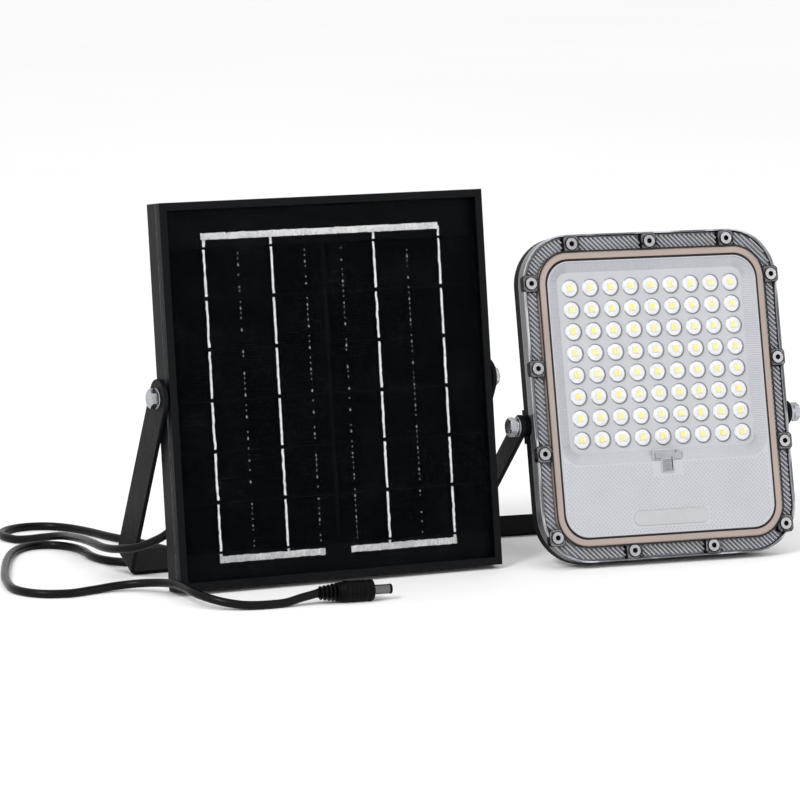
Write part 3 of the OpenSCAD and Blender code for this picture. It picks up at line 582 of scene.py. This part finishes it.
# Base colour and roughness
BRUSHED_METALS = {
    "bare_aluminium": ((0.68, 0.69, 0.7), 0.36),
    "zinc_steel": ((0.40, 0.41, 0.435), 0.2),
    "nickel": ((0.15, 0.148, 0.150), 0.2),
    "stainless": ((0.46, 0.46, 0.475), 0.22),
    "brass": ((0.68, 0.5, 0.2), 0.3),
}
M = {
    "panel_glass": glass_material(),
    "silver_ribbon": ribbon_material(),
    "solar_cell": cell_material(),
    "cover_side": cover_side_material(),
    "led_phosphor": phosphor_material(),
}
for name, (colour, rough, differs) in FINISHES.items():
    M[name] = finish(name, colour, rough, **differs)
for name, (colour, rough) in BRUSHED_METALS.items():
    M[name] = brushed(name, colour, rough)

SLOT_OF = {part["node"]: part["material_slot"] for part in frame["record"]["subparts"]}
NO_BEVEL = {
    "solar_glass", "solar_cells", "backsheet", "led_board", "led_chips", "board_parts", "lens_plate",
}
EDGE_ROUND = {
    "panel_bracket": 0.5,
    "lamp_bracket": 0.5,
    "lamp_housing": 0.6,
    "cover_gasket": 0.5,
    "cover_screws": 0.35,
}
USUAL_EDGE_ROUND = 0.3
WELD_DISTANCE = 0.000002
for name, cad in frame["nodes"].items():
    cad.data.materials.clear()
    cad.data.materials.append(M[SLOT_OF[name]])
    if name not in NO_BEVEL:
        weld = cad.modifiers.new("join_faces", "WELD")
        weld.merge_threshold = WELD_DISTANCE
        add_bevel(cad, EDGE_ROUND.get(name, USUAL_EDGE_ROUND))


# ------------------------ lead, tie and plug
cord, cord_path, cord_length = make_cord(M["cord_sheath"])


def make_tie():
    """Reusable tie round the coil's right side: a thin strap with a ribbed tail and a square head."""
    low, high = span("cord_tie", ROUTE)
    middle, half = (low + high) / 2, (high - low) / 2
    strap = Shape()
    rings = []
    for side in (-1, 1):
        for inset in (0, 0.75):
            width, radius = 2 * (half[0] - inset), 2.2 - inset * 0.8
            ring = rounded_outline(width, low[2] + inset, high[2] - inset, radius, side * half[1])
            rings.append([(middle[0] + x, middle[1] + y, z) for x, y, z in ring])
    strap.loft([rings[0], rings[2], rings[3], rings[1]], closed=True)
    head_low = (low[0] - 1.2, middle[1] - 2.9, middle[2] - 3)
    strap.box(head_low, (low[0] + 1.6, middle[1] + 2.9, middle[2] + 3))
    for k in range(7):
        z = low[2] + 4.5 + k * 1.7
        strap.box((high[0] - 0.3, middle[1] - 1.4, z), (high[0] + 0.25, middle[1] + 1.4, z + 0.8))
    nylon = M["black_nylon"]
    tie = make_piece("cord_tie_strap", strap, ROUTE, "panel_bracket", "black_nylon", nylon, bevel=0.25)
    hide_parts("cord_tie")


make_tie()


def make_plug():
    """Moulded barrel plug: ridged strain relief, body with grip grooves and a collar, and black tip."""
    relief_low, relief_high = span("plug_relief", PLUG)
    body_low, body_high = span("plug_body", PLUG)
    relief = Shape()
    fins = 5
    pitch = (relief_high[2] - relief_low[2]) / fins
    core = CORD_D / 2 + 0.45
    profile = [(CORD_D / 2 + 0.05, relief_low[2] - 0.4), (core - 0.1, relief_low[2])]
    for k in range(fins):
        z, reach = relief_low[2] + k * pitch, 3.9 + 0.35 * k
        profile += [(core - 0.2, z + 0.1), (core - 0.15, z + pitch * 0.52), (reach - 0.2, z + pitch * 0.56)]
        profile += [(reach, z + pitch * 0.62), (reach, z + pitch * 0.9), (reach - 0.2, z + pitch * 0.97)]
    profile.append((core, relief_high[2]))
    relief.lathe(profile, steps=40)
    radius, low, high = body_high[0], body_low[2], body_high[2]
    body = Shape()
    outline = [(core, low), (radius - 1.7, low), (radius - 0.9, low + 0.35), (radius - 0.55, low + 1.0)]
    outline += [(radius - 0.5, low + 3.0), (radius - 0.05, low + 3.5), (radius, low + 4.0)]
    for k in range(4):
        z = low + 6.2 + k * 2.3
        outline += [(radius, z), (radius - 0.32, z + 0.35), (radius - 0.32, z + 0.85), (radius, z + 1.2)]
    outline += [(radius, high - 4.4), (radius - 0.3, high - 4.0), (radius - 0.3, high - 3.4)]
    outline += [(radius, high - 3.0), (radius, high - 0.9), (radius - 0.25, high - 0.3)]
    outline += [(radius - 0.9, high), (2.62, high), (2.62, high - 5)]

    def gripped(angle, r, h):
        """The grooves are deepest on the two flat grips, and faint round the rest of the body."""
        if h < low + 5 or h > high - 5 or r < 5:
            return r
        flat = abs(math.sin(angle)) ** 6
        return radius - (radius - r) * (0.25 + 0.75 * flat) - 0.12 * flat

    body.lathe(outline, steps=64, radius=gripped)
    ring = Shape()
    tip = span("plug_sleeve", PLUG)[1][2]
    profile = [(2.2, tip - 1.3), (2.85, tip - 1.3), (2.85, tip + 0.05), (2.6, tip + 0.2), (1.4, tip + 0.2)]
    ring.lathe(profile, steps=40, caps=False)
    pieces = []
    for name, shape, smooth in (
        ("plug_strain_relief", relief, 50), ("plug_grip", body, 50), ("plug_tip_ring", ring, 40)
    ):
        rubber = M["plug_rubber"]
        pieces.append(make_piece(name, shape, PLUG, "panel_bracket", "plug_rubber", rubber, smooth=smooth))
    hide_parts("plug_relief")
    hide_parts("plug_body")
    return pieces + [frame["nodes"][n] for n in ("plug_sleeve", "plug_insulator", "plug_contact")]


plug_pieces = make_plug()
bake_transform(cord)


# ------------------------ panel
RIBBON_W = 1.4
RIBBON_STEP = 1.5
RIBBON_X = (-74.7, -32.6, 32.6, 74.7)
STRIP_W = 3.8
STRIP_GAP = (-9.2, 7.4)
CELL_ROWS = 6
CELL_GAP = 0.8
BUSBAR_X = (-53.8, -11.7, 11.7, 53.8)
BUSBAR_PITCH = 3.1
PADS_EVERY = 4


def uneven(x, z, seed):
    """A soft seeded wobble between -1 and 1."""
    return noise.noise(Vector((x * 0.13, z * 0.33, seed)))


def ribbon_strip(shape, x, z0, z1, width, front, back, seed, across=False):
    """A flat strip with uneven edges, along z, or along x when it runs across."""
    count = max(2, round((z1 - z0) / RIBBON_STEP))
    rings = []
    for k in range(count + 1):
        z = z0 + (z1 - z0) * k / count
        left = width / 2 + 0.5 * uneven(x, z * 1.6, seed)
        right = width / 2 + 0.5 * uneven(x + 40, z * 1.6, seed + 7)
        shift = 0.3 * uneven(x - 30, z * 0.7, seed + 3)
        ring = [(shift - left, back), (shift - left, front + 0.04), (shift - left + 0.2, front)]
        ring += [(shift + right - 0.2, front), (shift + right, front + 0.04), (shift + right, back)]
        rings.append([(z, d, x + u) if across else (x + u, d, z) for u, d in ring])
    shape.loft(rings)


def make_ribbons():
    """Tinned ribbons in place of the CAD ones: four along the cells, and wide strips above and below."""
    low, high = span("cell_ribbons", PANEL)
    cells_low, cells_high = span("solar_cells", PANEL)
    front, back = low[1], high[1]
    pitch = (cells_high[2] - cells_low[2] + CELL_GAP) / CELL_ROWS
    upper, lower = high[2] - STRIP_W / 2, low[2] + STRIP_W / 2
    shape = Shape()
    ribbon_strip(shape, upper, low[0] - 0.6, high[0] - 1.0, STRIP_W, front, back, 1, across=True)
    ribbon_strip(shape, lower, low[0], STRIP_GAP[0], STRIP_W, front, back, 2, across=True)
    ribbon_strip(shape, lower, STRIP_GAP[1], high[0], STRIP_W, front, back, 3, across=True)
    for i, x in enumerate(RIBBON_X):
        ribbon_strip(shape, x, lower, cells_low[2] - 0.6, RIBBON_W, front, back, i + 5)
        ribbon_strip(shape, x, cells_high[2] + 0.9, upper, RIBBON_W, front, back, i + 9)
        for row in range(CELL_ROWS):
            bottom = cells_low[2] + row * pitch
            ribbon_strip(shape, x, bottom + 0.9, bottom + pitch - 1.5, RIBBON_W, front, back, i * 7 + row)
    ribbons = panel_piece("tinned_ribbons", shape, "silver_ribbon", "silver_ribbon")
    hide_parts("cell_ribbons")


def make_busbars():
    """Broken fine bars printed on the cells, with a row of small solder pads along each."""
    cells_low, cells_high = span("solar_cells", PANEL)
    front = cells_low[1]
    shape = Shape()
    for i, x in enumerate(BUSBAR_X):
        z = cells_low[2] + 2
        step = 0
        while z < cells_high[2] - 3:
            middle = x + 0.25 * uneven(x, z, 20 + i)
            shown = 0.5 + 0.5 * uneven(x + 9, z * 2.1, 30 + i)
            if shown > 0.42:
                half = 0.06 + 0.09 * shown
                end = z + 0.3 + 0.9 * shown
                shape.box((middle - half, front - 0.06, z), (middle + half, front + 0.05, end))
            z += BUSBAR_PITCH
            step += 1
            if step % PADS_EVERY == 0:
                shape.box((middle - 0.3, front - 0.08, z - 0.7), (middle + 0.3, front + 0.05, z))
    panel_piece("cell_busbars", shape, "silver_ribbon", "silver_ribbon")


GROOVE_DEPTHS = (4.45, 5.95)
GROOVE_STEPS = 90


def make_groove_lines():
    """Painted highlights as thin grey lines along the edges of the groove on the frame's sides, near its front."""
    shape = Shape()
    half = span("frame_right", PANEL)[1][0]
    low, high = span("frame_left", PANEL)
    bottom, top = low[2] + 0.3, high[2] - 0.3
    for side in (-1, 1):
        x, face = side * (half - 0.06), side * (half + 0.05)
        for depth in GROOVE_DEPTHS:
            rings = []
            for k in range(GROOVE_STEPS + 1):
                z = bottom + (top - bottom) * k / GROOVE_STEPS
                wide = 0.17 + 0.12 * uneven(depth * 9, z * 0.8, 50 + side)
                ring = [(x, -1), (face, -0.5), (face, 0.5), (x, 1)]
                rings.append([(u, depth + wide * part, z) for u, part in ring])
            shape.loft(rings)
    panel_piece("frame_groove_lines", shape, "bare_aluminium", "groove_metal", smooth=30)


make_ribbons()
make_busbars()
make_groove_lines()


# ------------------------ bolts
def make_bolts(name, node, place, body, slot, shaft_r=3.0, across_flats=10.0, head_h=4.0):
    """Hexagon bolts with the chamfered head of real ones, in place of the CAD pair."""
    shape = Shape()
    low, high = span(node, place)
    middle = (low + high) / 2
    hexagon = across_flats / 2

    def six_sided(angle, r, h):
        flat = (angle + math.pi / 6) % (math.pi / 3) - math.pi / 6
        return min(r, hexagon / math.cos(flat)) if r > shaft_r + 0.2 else r

    # Radius and distance in from the outer end of the head
    profile = [(shaft_r, 20), (shaft_r, head_h + 0.02), (hexagon - 0.1, head_h)]
    profile += [(hexagon + 0.9, head_h - 0.05), (hexagon + 0.9, 0.75), (hexagon + 0.45, 0.42)]
    profile += [(hexagon - 0.1, 0.1), (hexagon - 0.6, 0), (hexagon - 1.3, 0), (hexagon - 1.6, 0.25)]
    for side in (-1, 1):
        turned = [(r, side * (high[0] - deep)) for r, deep in profile]
        shape.lathe(turned, (0, middle[1], middle[2]), "X", steps=72, radius=six_sided)
    bolts = make_piece(name, shape, place, body, slot, M[slot], smooth=25)
    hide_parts(node)


make_bolts("panel_hex_bolts", "panel_pivot_bolts", PANEL, "panel", "zinc_steel")
make_bolts("lamp_hex_bolts", "lamp_pivot_bolts", LAMP, "lamp", "zinc_steel")

# ------------------------ lamp front
COVER_SPAN = span("cover_frame", LAMP)
COVER_RADIUS = 29
COVER_DEPTH = 6
SKIRT_DEPTH = 11
SKIRT_T = 0.8
PIVOT_HOLE_R = 6.6
COVER_EDGE_R = 2.4
SCREW_BORE_R = 2.25
SCREW_POCKET_R = 3.9
SCREW_POCKET_DEPTH = 3.6
# Width, low, high and corner radius
WINDOW = (146, 9.4, 183, 19)
SCREWS_APART = 12
screw_spots = [(s[0], s[2]) for s in solids_of("cover_screws", LAMP, SCREWS_APART)]


def bore_out(piece, cutter_shape, place):
    """Cuts a shape out of a piece, with the result applied."""
    mesh = bpy.data.meshes.new("cutter")
    mesh.from_pydata([place @ Vector(p) for p in cutter_shape.points], [], cutter_shape.faces)
    cutter = bpy.data.objects.new("cutter", mesh)
    bpy.context.scene.collection.objects.link(cutter)
    tidy_mesh(cutter, 40)
    cut = piece.modifiers.new("bores", "BOOLEAN")
    cut.operation = "DIFFERENCE"
    cut.solver = "EXACT"
    cut.object = cutter
    bpy.context.view_layer.update()
    done = bpy.data.meshes.new_from_object(piece.evaluated_get(bpy.context.evaluated_depsgraph_get()))
    piece.modifiers.clear()
    piece.data = done
    bpy.data.objects.remove(cutter)
    tidy_mesh(piece, 30)


def make_cover():
    """Clear grey cover: a rounded outer edge, a window for the lens plate and a pocket for each screw."""
    rings = [rounded_outline(*inset_outline(0), COVER_DEPTH)]
    for k in range(6):
        angle = math.pi / 2 * k / 5
        inset = COVER_EDGE_R * (1 - math.cos(angle))
        depth = COVER_EDGE_R * (1 - math.sin(angle))
        rings.append(rounded_outline(*inset_outline(inset), depth))
    rings.append(rounded_outline(*grown(WINDOW, 0.5), 0))
    rings.append(rounded_outline(*WINDOW, 0.5))
    rings.append(rounded_outline(*WINDOW, COVER_DEPTH))
    shape = Shape()
    shape.loft(rings, closed=True)
    cover = make_piece("clear_cover", shape, LAMP, None, "smoked_cover", M["smoked_cover"], smooth=30)
    cutter = Shape()
    for x, z in screw_spots:
        profile = [(SCREW_BORE_R, COVER_DEPTH + 1), (SCREW_BORE_R, SCREW_POCKET_DEPTH)]
        profile += [(SCREW_POCKET_R, SCREW_POCKET_DEPTH), (SCREW_POCKET_R, 0.35)]
        profile += [(SCREW_POCKET_R + 0.4, -0.05), (SCREW_POCKET_R + 0.4, -1)]
        cutter.lathe(profile, (x, 0, z), "Y", steps=40)
    bore_out(cover, cutter, LAMP)
    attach(cover, "lamp")
    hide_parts("cover_frame")


def band_between(shape, outer, inner, front, back):
    """A flat ring between two round-cornered outlines, each width, low, high and radius."""
    rings = [rounded_outline(*outer, back), rounded_outline(*outer, front)]
    rings += [rounded_outline(*inner, front), rounded_outline(*inner, back)]
    shape.loft(rings, closed=True)


def grown(outline, by):
    """An outline's width, low, high and radius, moved outwards all round, or inwards if by is negative."""
    width, low, high, radius = outline
    return width + 2 * by, low - by, high + by, radius + by


def inset_outline(inset):
    """The cover's outer outline, moved inwards all round."""
    low, high = COVER_SPAN
    return high[0] - low[0] - 2 * inset, low[2] + inset, high[2] - inset, COVER_RADIUS - inset


def make_cover_bed():
    """The grey ground seen through the cover, and the cover's side wall, open round the pivots."""
    bed, skirt = Shape(), Shape()
    band_between(bed, inset_outline(1.2), grown(WINDOW, 0.15), 5.3, 5.95)
    lamp_piece("cover_bed", bed, "smoked_cover", "cover_bed", smooth=30)
    band_between(skirt, inset_outline(-0.04), inset_outline(SKIRT_T), COVER_DEPTH - 4.4, SKIRT_DEPTH)
    side = make_piece("cover_side_wall", skirt, LAMP, None, "smoked_cover", M["cover_side"], smooth=30)
    cutter = Shape()
    half = COVER_SPAN[1][0]
    for sign in (-1, 1):
        profile = [(PIVOT_HOLE_R, sign * (half - 4)), (PIVOT_HOLE_R, sign * (half + 2))]
        cutter.lathe(profile, (0, LAMP_PIVOT[1], LAMP_PIVOT[2]), "X", steps=40)
    bore_out(side, cutter, LAMP)
    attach(side, "lamp")


def make_window_lip():
    """The cover's inner edge, drawn as a line of painted shade round the seal."""
    shape = Shape()
    band_between(shape, grown(WINDOW, 0.85), grown(WINDOW, 0.05), -0.04, 0.5)
    lamp_piece("window_lip", shape, "smoked_cover", "dark_well", bevel=0.15)


# Outer and inner width of each well's outline of painted shade and of its grey floor, and their depths
BOSS_OUTLINE = (10.0, 9.6)
BOSS_FLOOR = (9.5, 6.2)
BOSS_FRONT = 1.1
BOSS_BACK = 5.2
BOSS_ROUND = 0.24
SCREW_RING = [(3.72, 3.5), (3.72, 0.3), (3.8, -0.03), (3.92, 0.02), (3.92, 3.5)]
SOCKET = [(1.69, 2.1), (1.69, 0.16), (1.5, 0.3), (1.45, 1.9), (0.2, 2.0)]


def make_bosses():
    """Square wells that hold the cover's screws: a thin outline and a ring round each head, both dark with painted
    shade.
    """
    bosses, floors, wells = Shape(), Shape(), Shape()
    for x, z in screw_spots:
        for shape, (outer, inner) in ((bosses, BOSS_OUTLINE), (floors, BOSS_FLOOR)):
            rings = []
            for size, depth in (
                (outer, BOSS_BACK), (outer, BOSS_FRONT), (inner, BOSS_FRONT), (inner, BOSS_BACK)
            ):
                ring = rounded_outline(size, -size / 2, size / 2, size * BOSS_ROUND, depth, steps=5)
                rings.append([(x + px, d, z + pz) for px, d, pz in ring])
            shape.loft(rings, closed=True)
        wells.lathe(SCREW_RING, (x, 0, z), "Y", steps=40, caps=False)
    lamp_piece("cover_bosses", bosses, "smoked_cover", "dark_well", smooth=30)
    lamp_piece("boss_walls", floors, "smoked_cover", "well_floor", smooth=30)
    lamp_piece("screw_well_shade", wells, "smoked_cover", "dark_well", smooth=30)


def make_sockets():
    """Hexagon linings of painted shade in the cover's screw sockets."""
    shape = Shape()
    angles = [math.pi / 3 * k for k in range(6)]
    for x, z in screw_spots:
        rings = []
        for radius, depth in SOCKET:
            rings.append([(x + radius * math.sin(a), depth, z + radius * math.cos(a)) for a in angles])
        shape.loft(rings)
    lamp_piece("socket_painted_shade", shape, "black_steel", "dark_well", smooth=20)


RIB_PITCH = 2.15
RIB_W = 0.95
RIB_FRONT = 3.2
RIB_BACK = 5.4
RIB_INSET = 1.9
RIB_REACH = 150
RIB_STEP = 0.5
SHORTEST_RIB = 1.5
BOSS_HALF = 5.1


def in_rib_band(x, z):
    """Whether the ribs cover this spot: between the outer edge and the gasket, and clear of the screws."""
    if outside_by(x, z, *inset_outline(RIB_INSET)) > 0:
        return False
    if outside_by(x, z, *WINDOW) < 1.0:
        return False
    return all(max(abs(x - sx), abs(z - sz)) > BOSS_HALF for sx, sz in screw_spots)


def make_ribs():
    """Slanting ribs moulded all round under the clear cover."""
    low, high = COVER_SPAN
    shape = Shape()
    along = np.array([1, -1]) / math.sqrt(2)
    across = np.array([1, 1]) / math.sqrt(2)
    middle = np.array([0, (low[2] + high[2]) / 2])
    count = int(RIB_REACH / RIB_PITCH)
    steps = int(RIB_REACH / RIB_STEP)
    for i in range(-count, count + 1):
        run = []
        for k in range(-steps, steps + 1):
            p = middle + across * i * RIB_PITCH + along * k * RIB_STEP
            if in_rib_band(*p):
                run.append(p)
            elif run:
                add_rib(shape, run[0], run[-1], across)
                run = []
    lamp_piece("cover_ribs", shape, "smoked_cover", "cover_rib", smooth=20)


def add_rib(shape, start, end, across):
    """One rib between two points, narrower at its front."""
    if np.linalg.norm(end - start) < SHORTEST_RIB:
        return
    rings = []
    for p in (start, end):
        a, b = p - across * RIB_W / 2, p + across * RIB_W / 2
        top_a, top_b = p - across * RIB_W * 0.3, p + across * RIB_W * 0.3
        ring = [(a, RIB_BACK), (top_a, RIB_FRONT), (top_b, RIB_FRONT), (b, RIB_BACK)]
        rings.append([(q[0], depth, q[1]) for q, depth in ring])
    shape.loft(rings)


make_cover()
make_cover_bed()
make_window_lip()
make_bosses()
make_sockets()
make_ribs()

# ------------------------ lens plate
PLATE_SPAN = span("lens_plate", LAMP)
PLATE_R = 15
# Width, low, high and corner radius of the tray at the plate's face and at its floor
TRAY_TOP = (134, 57, 177.5, 12)
TRAY_FLOOR = (120, 64.5, 171.5, 6)
FLOOR_DEPTH = 5.0
TRAY_RIB_PITCH = 1.35


def make_tray_ribs():
    """Fine ribs down the sloping walls of the tray round the lenses."""
    front = PLATE_SPAN[0][1]
    outer = [np.array(p) for p in rounded_outline(*TRAY_TOP, front, steps=8)]
    inner = [np.array(p) for p in rounded_outline(*TRAY_FLOOR, FLOOR_DEPTH, steps=8)]
    shape = Shape()
    count = len(outer)
    for k in range(count):
        a0, a1 = outer[k], outer[(k + 1) % count]
        b0, b1 = inner[k], inner[(k + 1) % count]
        length = np.linalg.norm(a1 - a0)
        tangent = (a1 - a0) / length
        ribs = max(1, round(length / TRAY_RIB_PITCH))
        width = min(0.34, 0.3 * length / ribs)
        for i in range(ribs):
            t = (i + 0.5) / ribs
            a, b = a0 + (a1 - a0) * t, b0 + (b1 - b0) * t
            normal = np.cross(tangent, b - a)
            normal /= np.linalg.norm(normal)
            normal *= -np.sign(normal[1])
            a, b = a + (b - a) * 0.03, a + (b - a) * 0.97
            foot, aside = normal * 0.1, tangent * width
            shape.loft([[p - aside - foot, p + normal * 0.3, p + aside - foot] for p in (a, b)])
    lamp_piece("tray_ribs", shape, "white_optic", "white_optic", smooth=20)


DOT_PITCH_X = 2.6
DOT_PITCH_Z = 1.3
DOT_R = 0.6
DOT_HIGH = 0.3
DOT_COLUMNS = 67
DOT_FACES = [(0, 1, 4), (1, 2, 4), (2, 3, 4), (3, 0, 4), (3, 2, 1, 0)]


def dot_spot(x, z):
    """Whether the plate's dotted texture covers this spot."""
    low, high = PLATE_SPAN
    if outside_by(x, z, high[0] - low[0], low[2], high[2], PLATE_R) > -2.2:
        return False
    if outside_by(x, z, *TRAY_TOP) < 1.0:
        return False
    for node in ("indicator_window", "sensor_window"):
        a, b = WINDOW_SPANS[node]
        if a[0] - 1 < x < b[0] + 1 and a[2] - 1 < z < b[2] + 1:
            return False
    return True


def make_plate_dots():
    """Rows of small diamond points over the plain part of the plate, a darker grey than the plate as painted
    shade.
    """
    low = PLATE_SPAN[0]
    front = low[1]
    shape = Shape()
    foot = front + 0.03
    for j in range(int((TRAY_TOP[1] - low[2] + 14) / DOT_PITCH_Z)):
        z = low[2] + j * DOT_PITCH_Z
        start = -33 * DOT_PITCH_X + (j % 2) * DOT_PITCH_X / 2
        for i in range(DOT_COLUMNS):
            x = start + i * DOT_PITCH_X
            if dot_spot(x, z):
                base = [(x - DOT_R, z), (x, z - DOT_R), (x + DOT_R, z), (x, z + DOT_R)]
                peak = (x, front - DOT_HIGH, z)
                shape.add([(u, foot, v) for u, v in base] + [peak], DOT_FACES)
    lamp_piece("plate_dots", shape, "white_optic", "optic_dot", smooth=10)


def make_plate_rim():
    """The plate's outer bevel against the seal, dark with painted shade, and the lip inside it."""
    low, high = PLATE_SPAN
    plate = high[0] - low[0], low[2], high[2], PLATE_R
    dark, light = Shape(), Shape()
    # The dark band is painted shade in the gap against the seal
    band_between(dark, grown(plate, 0.35), grown(plate, -0.65), 0.62, 1.4)
    band_between(light, grown(plate, -0.7), grown(plate, -1.5), 0.55, 1.4)
    lamp_piece("plate_edge_shade", dark, "white_optic", "dark_well", bevel=0.2)
    lamp_piece("plate_lip", light, "white_optic", "white_optic", bevel=0.25)


def make_receiver():
    """What shows in the T-shaped window: a grey block, a framed eye in its stem and a slot beside it; the slots
    are dark with painted shade.
    """
    low, high = WINDOW_SPANS["sensor_window"]
    front = low[1]
    stem_x, stem_low, bar_low = 4.0, low[2], high[2] - 6
    grey, dark, slot = Shape(), Shape(), Shape()
    grey.box((low[0] + 0.4, front - 0.02, bar_low + 0.3), (high[0] - 0.4, front + 0.3, high[2] - 0.4))
    dark.box((-stem_x + 0.4, front - 0.02, stem_low + 0.5), (stem_x - 0.4, front + 0.3, bar_low + 0.2))
    for r_out, r_in in ((2.0, 1.7), (1.0, 0.7)):
        eye = [(r_in, front + 0.1), (r_in, front - 0.12), (r_out, front - 0.12), (r_out, front + 0.1)]
        grey.lathe(eye, (0, 0, stem_low + 4.4), "Y", steps=36, caps=False)
    left, right, bottom, top = -2.9, 2.3, stem_low + 1.2, bar_low - 0.6
    for x0, z0, x1, z1 in (
        (left, bottom, right, bottom), (left, top, right, top),
        (left, bottom, left, top), (right, bottom, right, top),
    ):
        grey.box((x0 - 0.18, front - 0.1, z0 - 0.18), (x1 + 0.18, front + 0.1, z1 + 0.18))
    slot.box((2.75, front - 0.12, stem_low + 2.2), (3.3, front + 0.2, bar_low + 1.1))
    slot.box((5.6, front - 0.12, bar_low + 3.6), (6.0, front + 0.2, high[2] - 0.8))
    slot.box((low[0] + 1.0, front - 0.1, bar_low + 0.5), (low[0] + 1.3, front + 0.2, high[2] - 2))
    slot.box((low[0] + 1.0, front - 0.1, bar_low + 0.5), (-stem_x, front + 0.2, bar_low + 0.75))
    lamp_piece("receiver_face", grey, "frosted_window", "receiver_grey", bevel=0.08)
    lamp_piece("receiver_stem", dark, "frosted_window", "receiver_dark", bevel=0.15)
    lamp_piece("receiver_slots", slot, "housing_black", "dark_well", bevel=0.08)


WINDOW_SPANS = {name: span(name, LAMP) for name in ("indicator_window", "sensor_window")}
make_plate_rim()
make_receiver()
make_tray_ribs()
make_plate_dots()

# ------------------------ lenses and chips
LENS_COLUMNS = 9
LENS_ROWS = 8
LENS_PITCH = 12.86
# How far each lens's ring of painted shadow sits to the right
SHADOW_RING_SHIFT = 0.62
LENS_SPAN = span("led_lenses", LAMP)


def lens_middles():
    """Each lens's x and z, and the lenses' radius."""
    low, high = LENS_SPAN
    r = (high[2] - low[2] - (LENS_ROWS - 1) * LENS_PITCH) / 2
    for i in range(LENS_COLUMNS):
        for j in range(LENS_ROWS):
            x = low[0] + r + (high[0] - low[0] - 2 * r) * i / (LENS_COLUMNS - 1)
            yield x, low[2] + r + (high[2] - low[2] - 2 * r) * j / (LENS_ROWS - 1), r


def make_lenses():
    """Domed lenses, each with a small step at its foot."""
    front = LENS_SPAN[0][1]
    back, foot = FLOOR_DEPTH - 0.02, FLOOR_DEPTH - 0.45
    tall = foot - front
    shape = Shape()
    for x, z, r in lens_middles():
        profile = [(0.01, back), (r, back), (r, FLOOR_DEPTH - 0.4), (r - 0.18, foot)]
        for k in range(1, 10):
            t = math.pi / 2 * k / 9.02
            reach = (r - 0.22) * math.cos(t) ** 0.8
            profile.append((reach, foot - tall * math.sin(t) ** 0.9))
        shape.lathe(profile, (x, 0, z), "Y", steps=36)
    lenses = lamp_piece("lens_domes", shape, "clear_lens", "clear_lens", smooth=50)
    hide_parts("led_lenses")


# Corners from a lens's middle in x, depth and z: the LED's white body, its phosphor, and a pale patch of painted
# reflection beside it
LED_BODY = ((-2.1, 3.9, -1.9), (2.4, 5.9, 2.2))
LED_PHOSPHOR = ((-1.3, 3.5, -1.6), (0.6, 3.95, 2.0))
LED_REFLECTION = ((0.7, 3.55, -1.3), (2.3, 3.95, 1.8))


def make_chips():
    """What shows in each lens: a white LED body, a phosphor patch with a pale patch of painted reflection beside
    it, a cup, and a ring of painted shadow round it.
    """
    bodies, dies, reflected_patches, cups, shadow_rings = Shape(), Shape(), Shape(), Shape(), Shape()
    for x, z, r in lens_middles():
        for shape, corners in ((bodies, LED_BODY), (dies, LED_PHOSPHOR), (reflected_patches, LED_REFLECTION)):
            shape.box(*[(x + across, depth, z + up) for across, depth, up in corners])
        cup = [(1.8, 4.98), (r - 0.5, 4.98), (r - 0.25, 4.75), (r - 0.6, 4.5), (1.8, 4.3)]
        cups.lathe(cup, (x, 0, z), "Y", steps=36, caps=False)
        # Each ring of painted shadow sits to the right of and a little below its lens, so that a crescent shows on
        # the right
        collar = [(r - 0.6, 4.99), (r - 0.6, 4.6), (r - 0.05, 4.5), (r + 0.2, 4.7), (r + 0.25, 4.99)]
        shadow_rings.lathe(collar, (x + SHADOW_RING_SHIFT, 0, z - 0.12), "Y", steps=36, caps=False)
    body = lamp_piece("led_packages", bodies, "white_board", "white_board", bevel=0.2)
    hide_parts("led_chips")
    lamp_piece("led_dies", dies, "led_phosphor", "led_phosphor", bevel=0.15)
    lamp_piece("led_reflections", reflected_patches, "led_phosphor", "pale_phosphor", bevel=0.15)
    lamp_piece("lens_cups", cups, "white_board", "lens_cup", smooth=40)
    lamp_piece("lens_painted_shadows", shadow_rings, "clear_lens", "lens_collar", smooth=40)


make_lenses()
make_chips()


# ------------------------ floor and light
def make_floor():
    shape = Shape()
    shape.box((-6000, -6000, -20), (6000, 6000, 0))
    floor = make_piece("floor", shape, Matrix.Scale(MM, 4), None, None, floor_material())


def area_light(name, place, target, size, power):
    """A square area light that shines at its target."""
    data = bpy.data.lights.new(name, "AREA")
    data.shape = "SQUARE"
    data.size = size
    data.energy = power
    light = bpy.data.objects.new(name, data)
    bpy.context.scene.collection.objects.link(light)
    light.location = place
    light.rotation_mode = "QUATERNION"
    light.rotation_quaternion = (Vector(target) - Vector(place)).to_track_quat("-Z", "Y")


def make_light():
    world = bpy.data.worlds.new("studio")
    world.use_nodes = True
    world.node_tree.nodes["Background"].inputs["Color"].default_value = (1.0, 1.0, 1.0, 1)
    world.node_tree.nodes["Background"].inputs["Strength"].default_value = 1.0
    bpy.context.scene.world = world
    area_light("key", (-1.7, -1.0, 1.7), (0, 0, 0.1), 0.5, 26)
    area_light("fill", (1.5, -1.4, 0.8), (0.1, 0, 0.1), 1.2, 6)


make_floor()
make_light()
bpy.context.scene.view_settings.view_transform = "Standard"
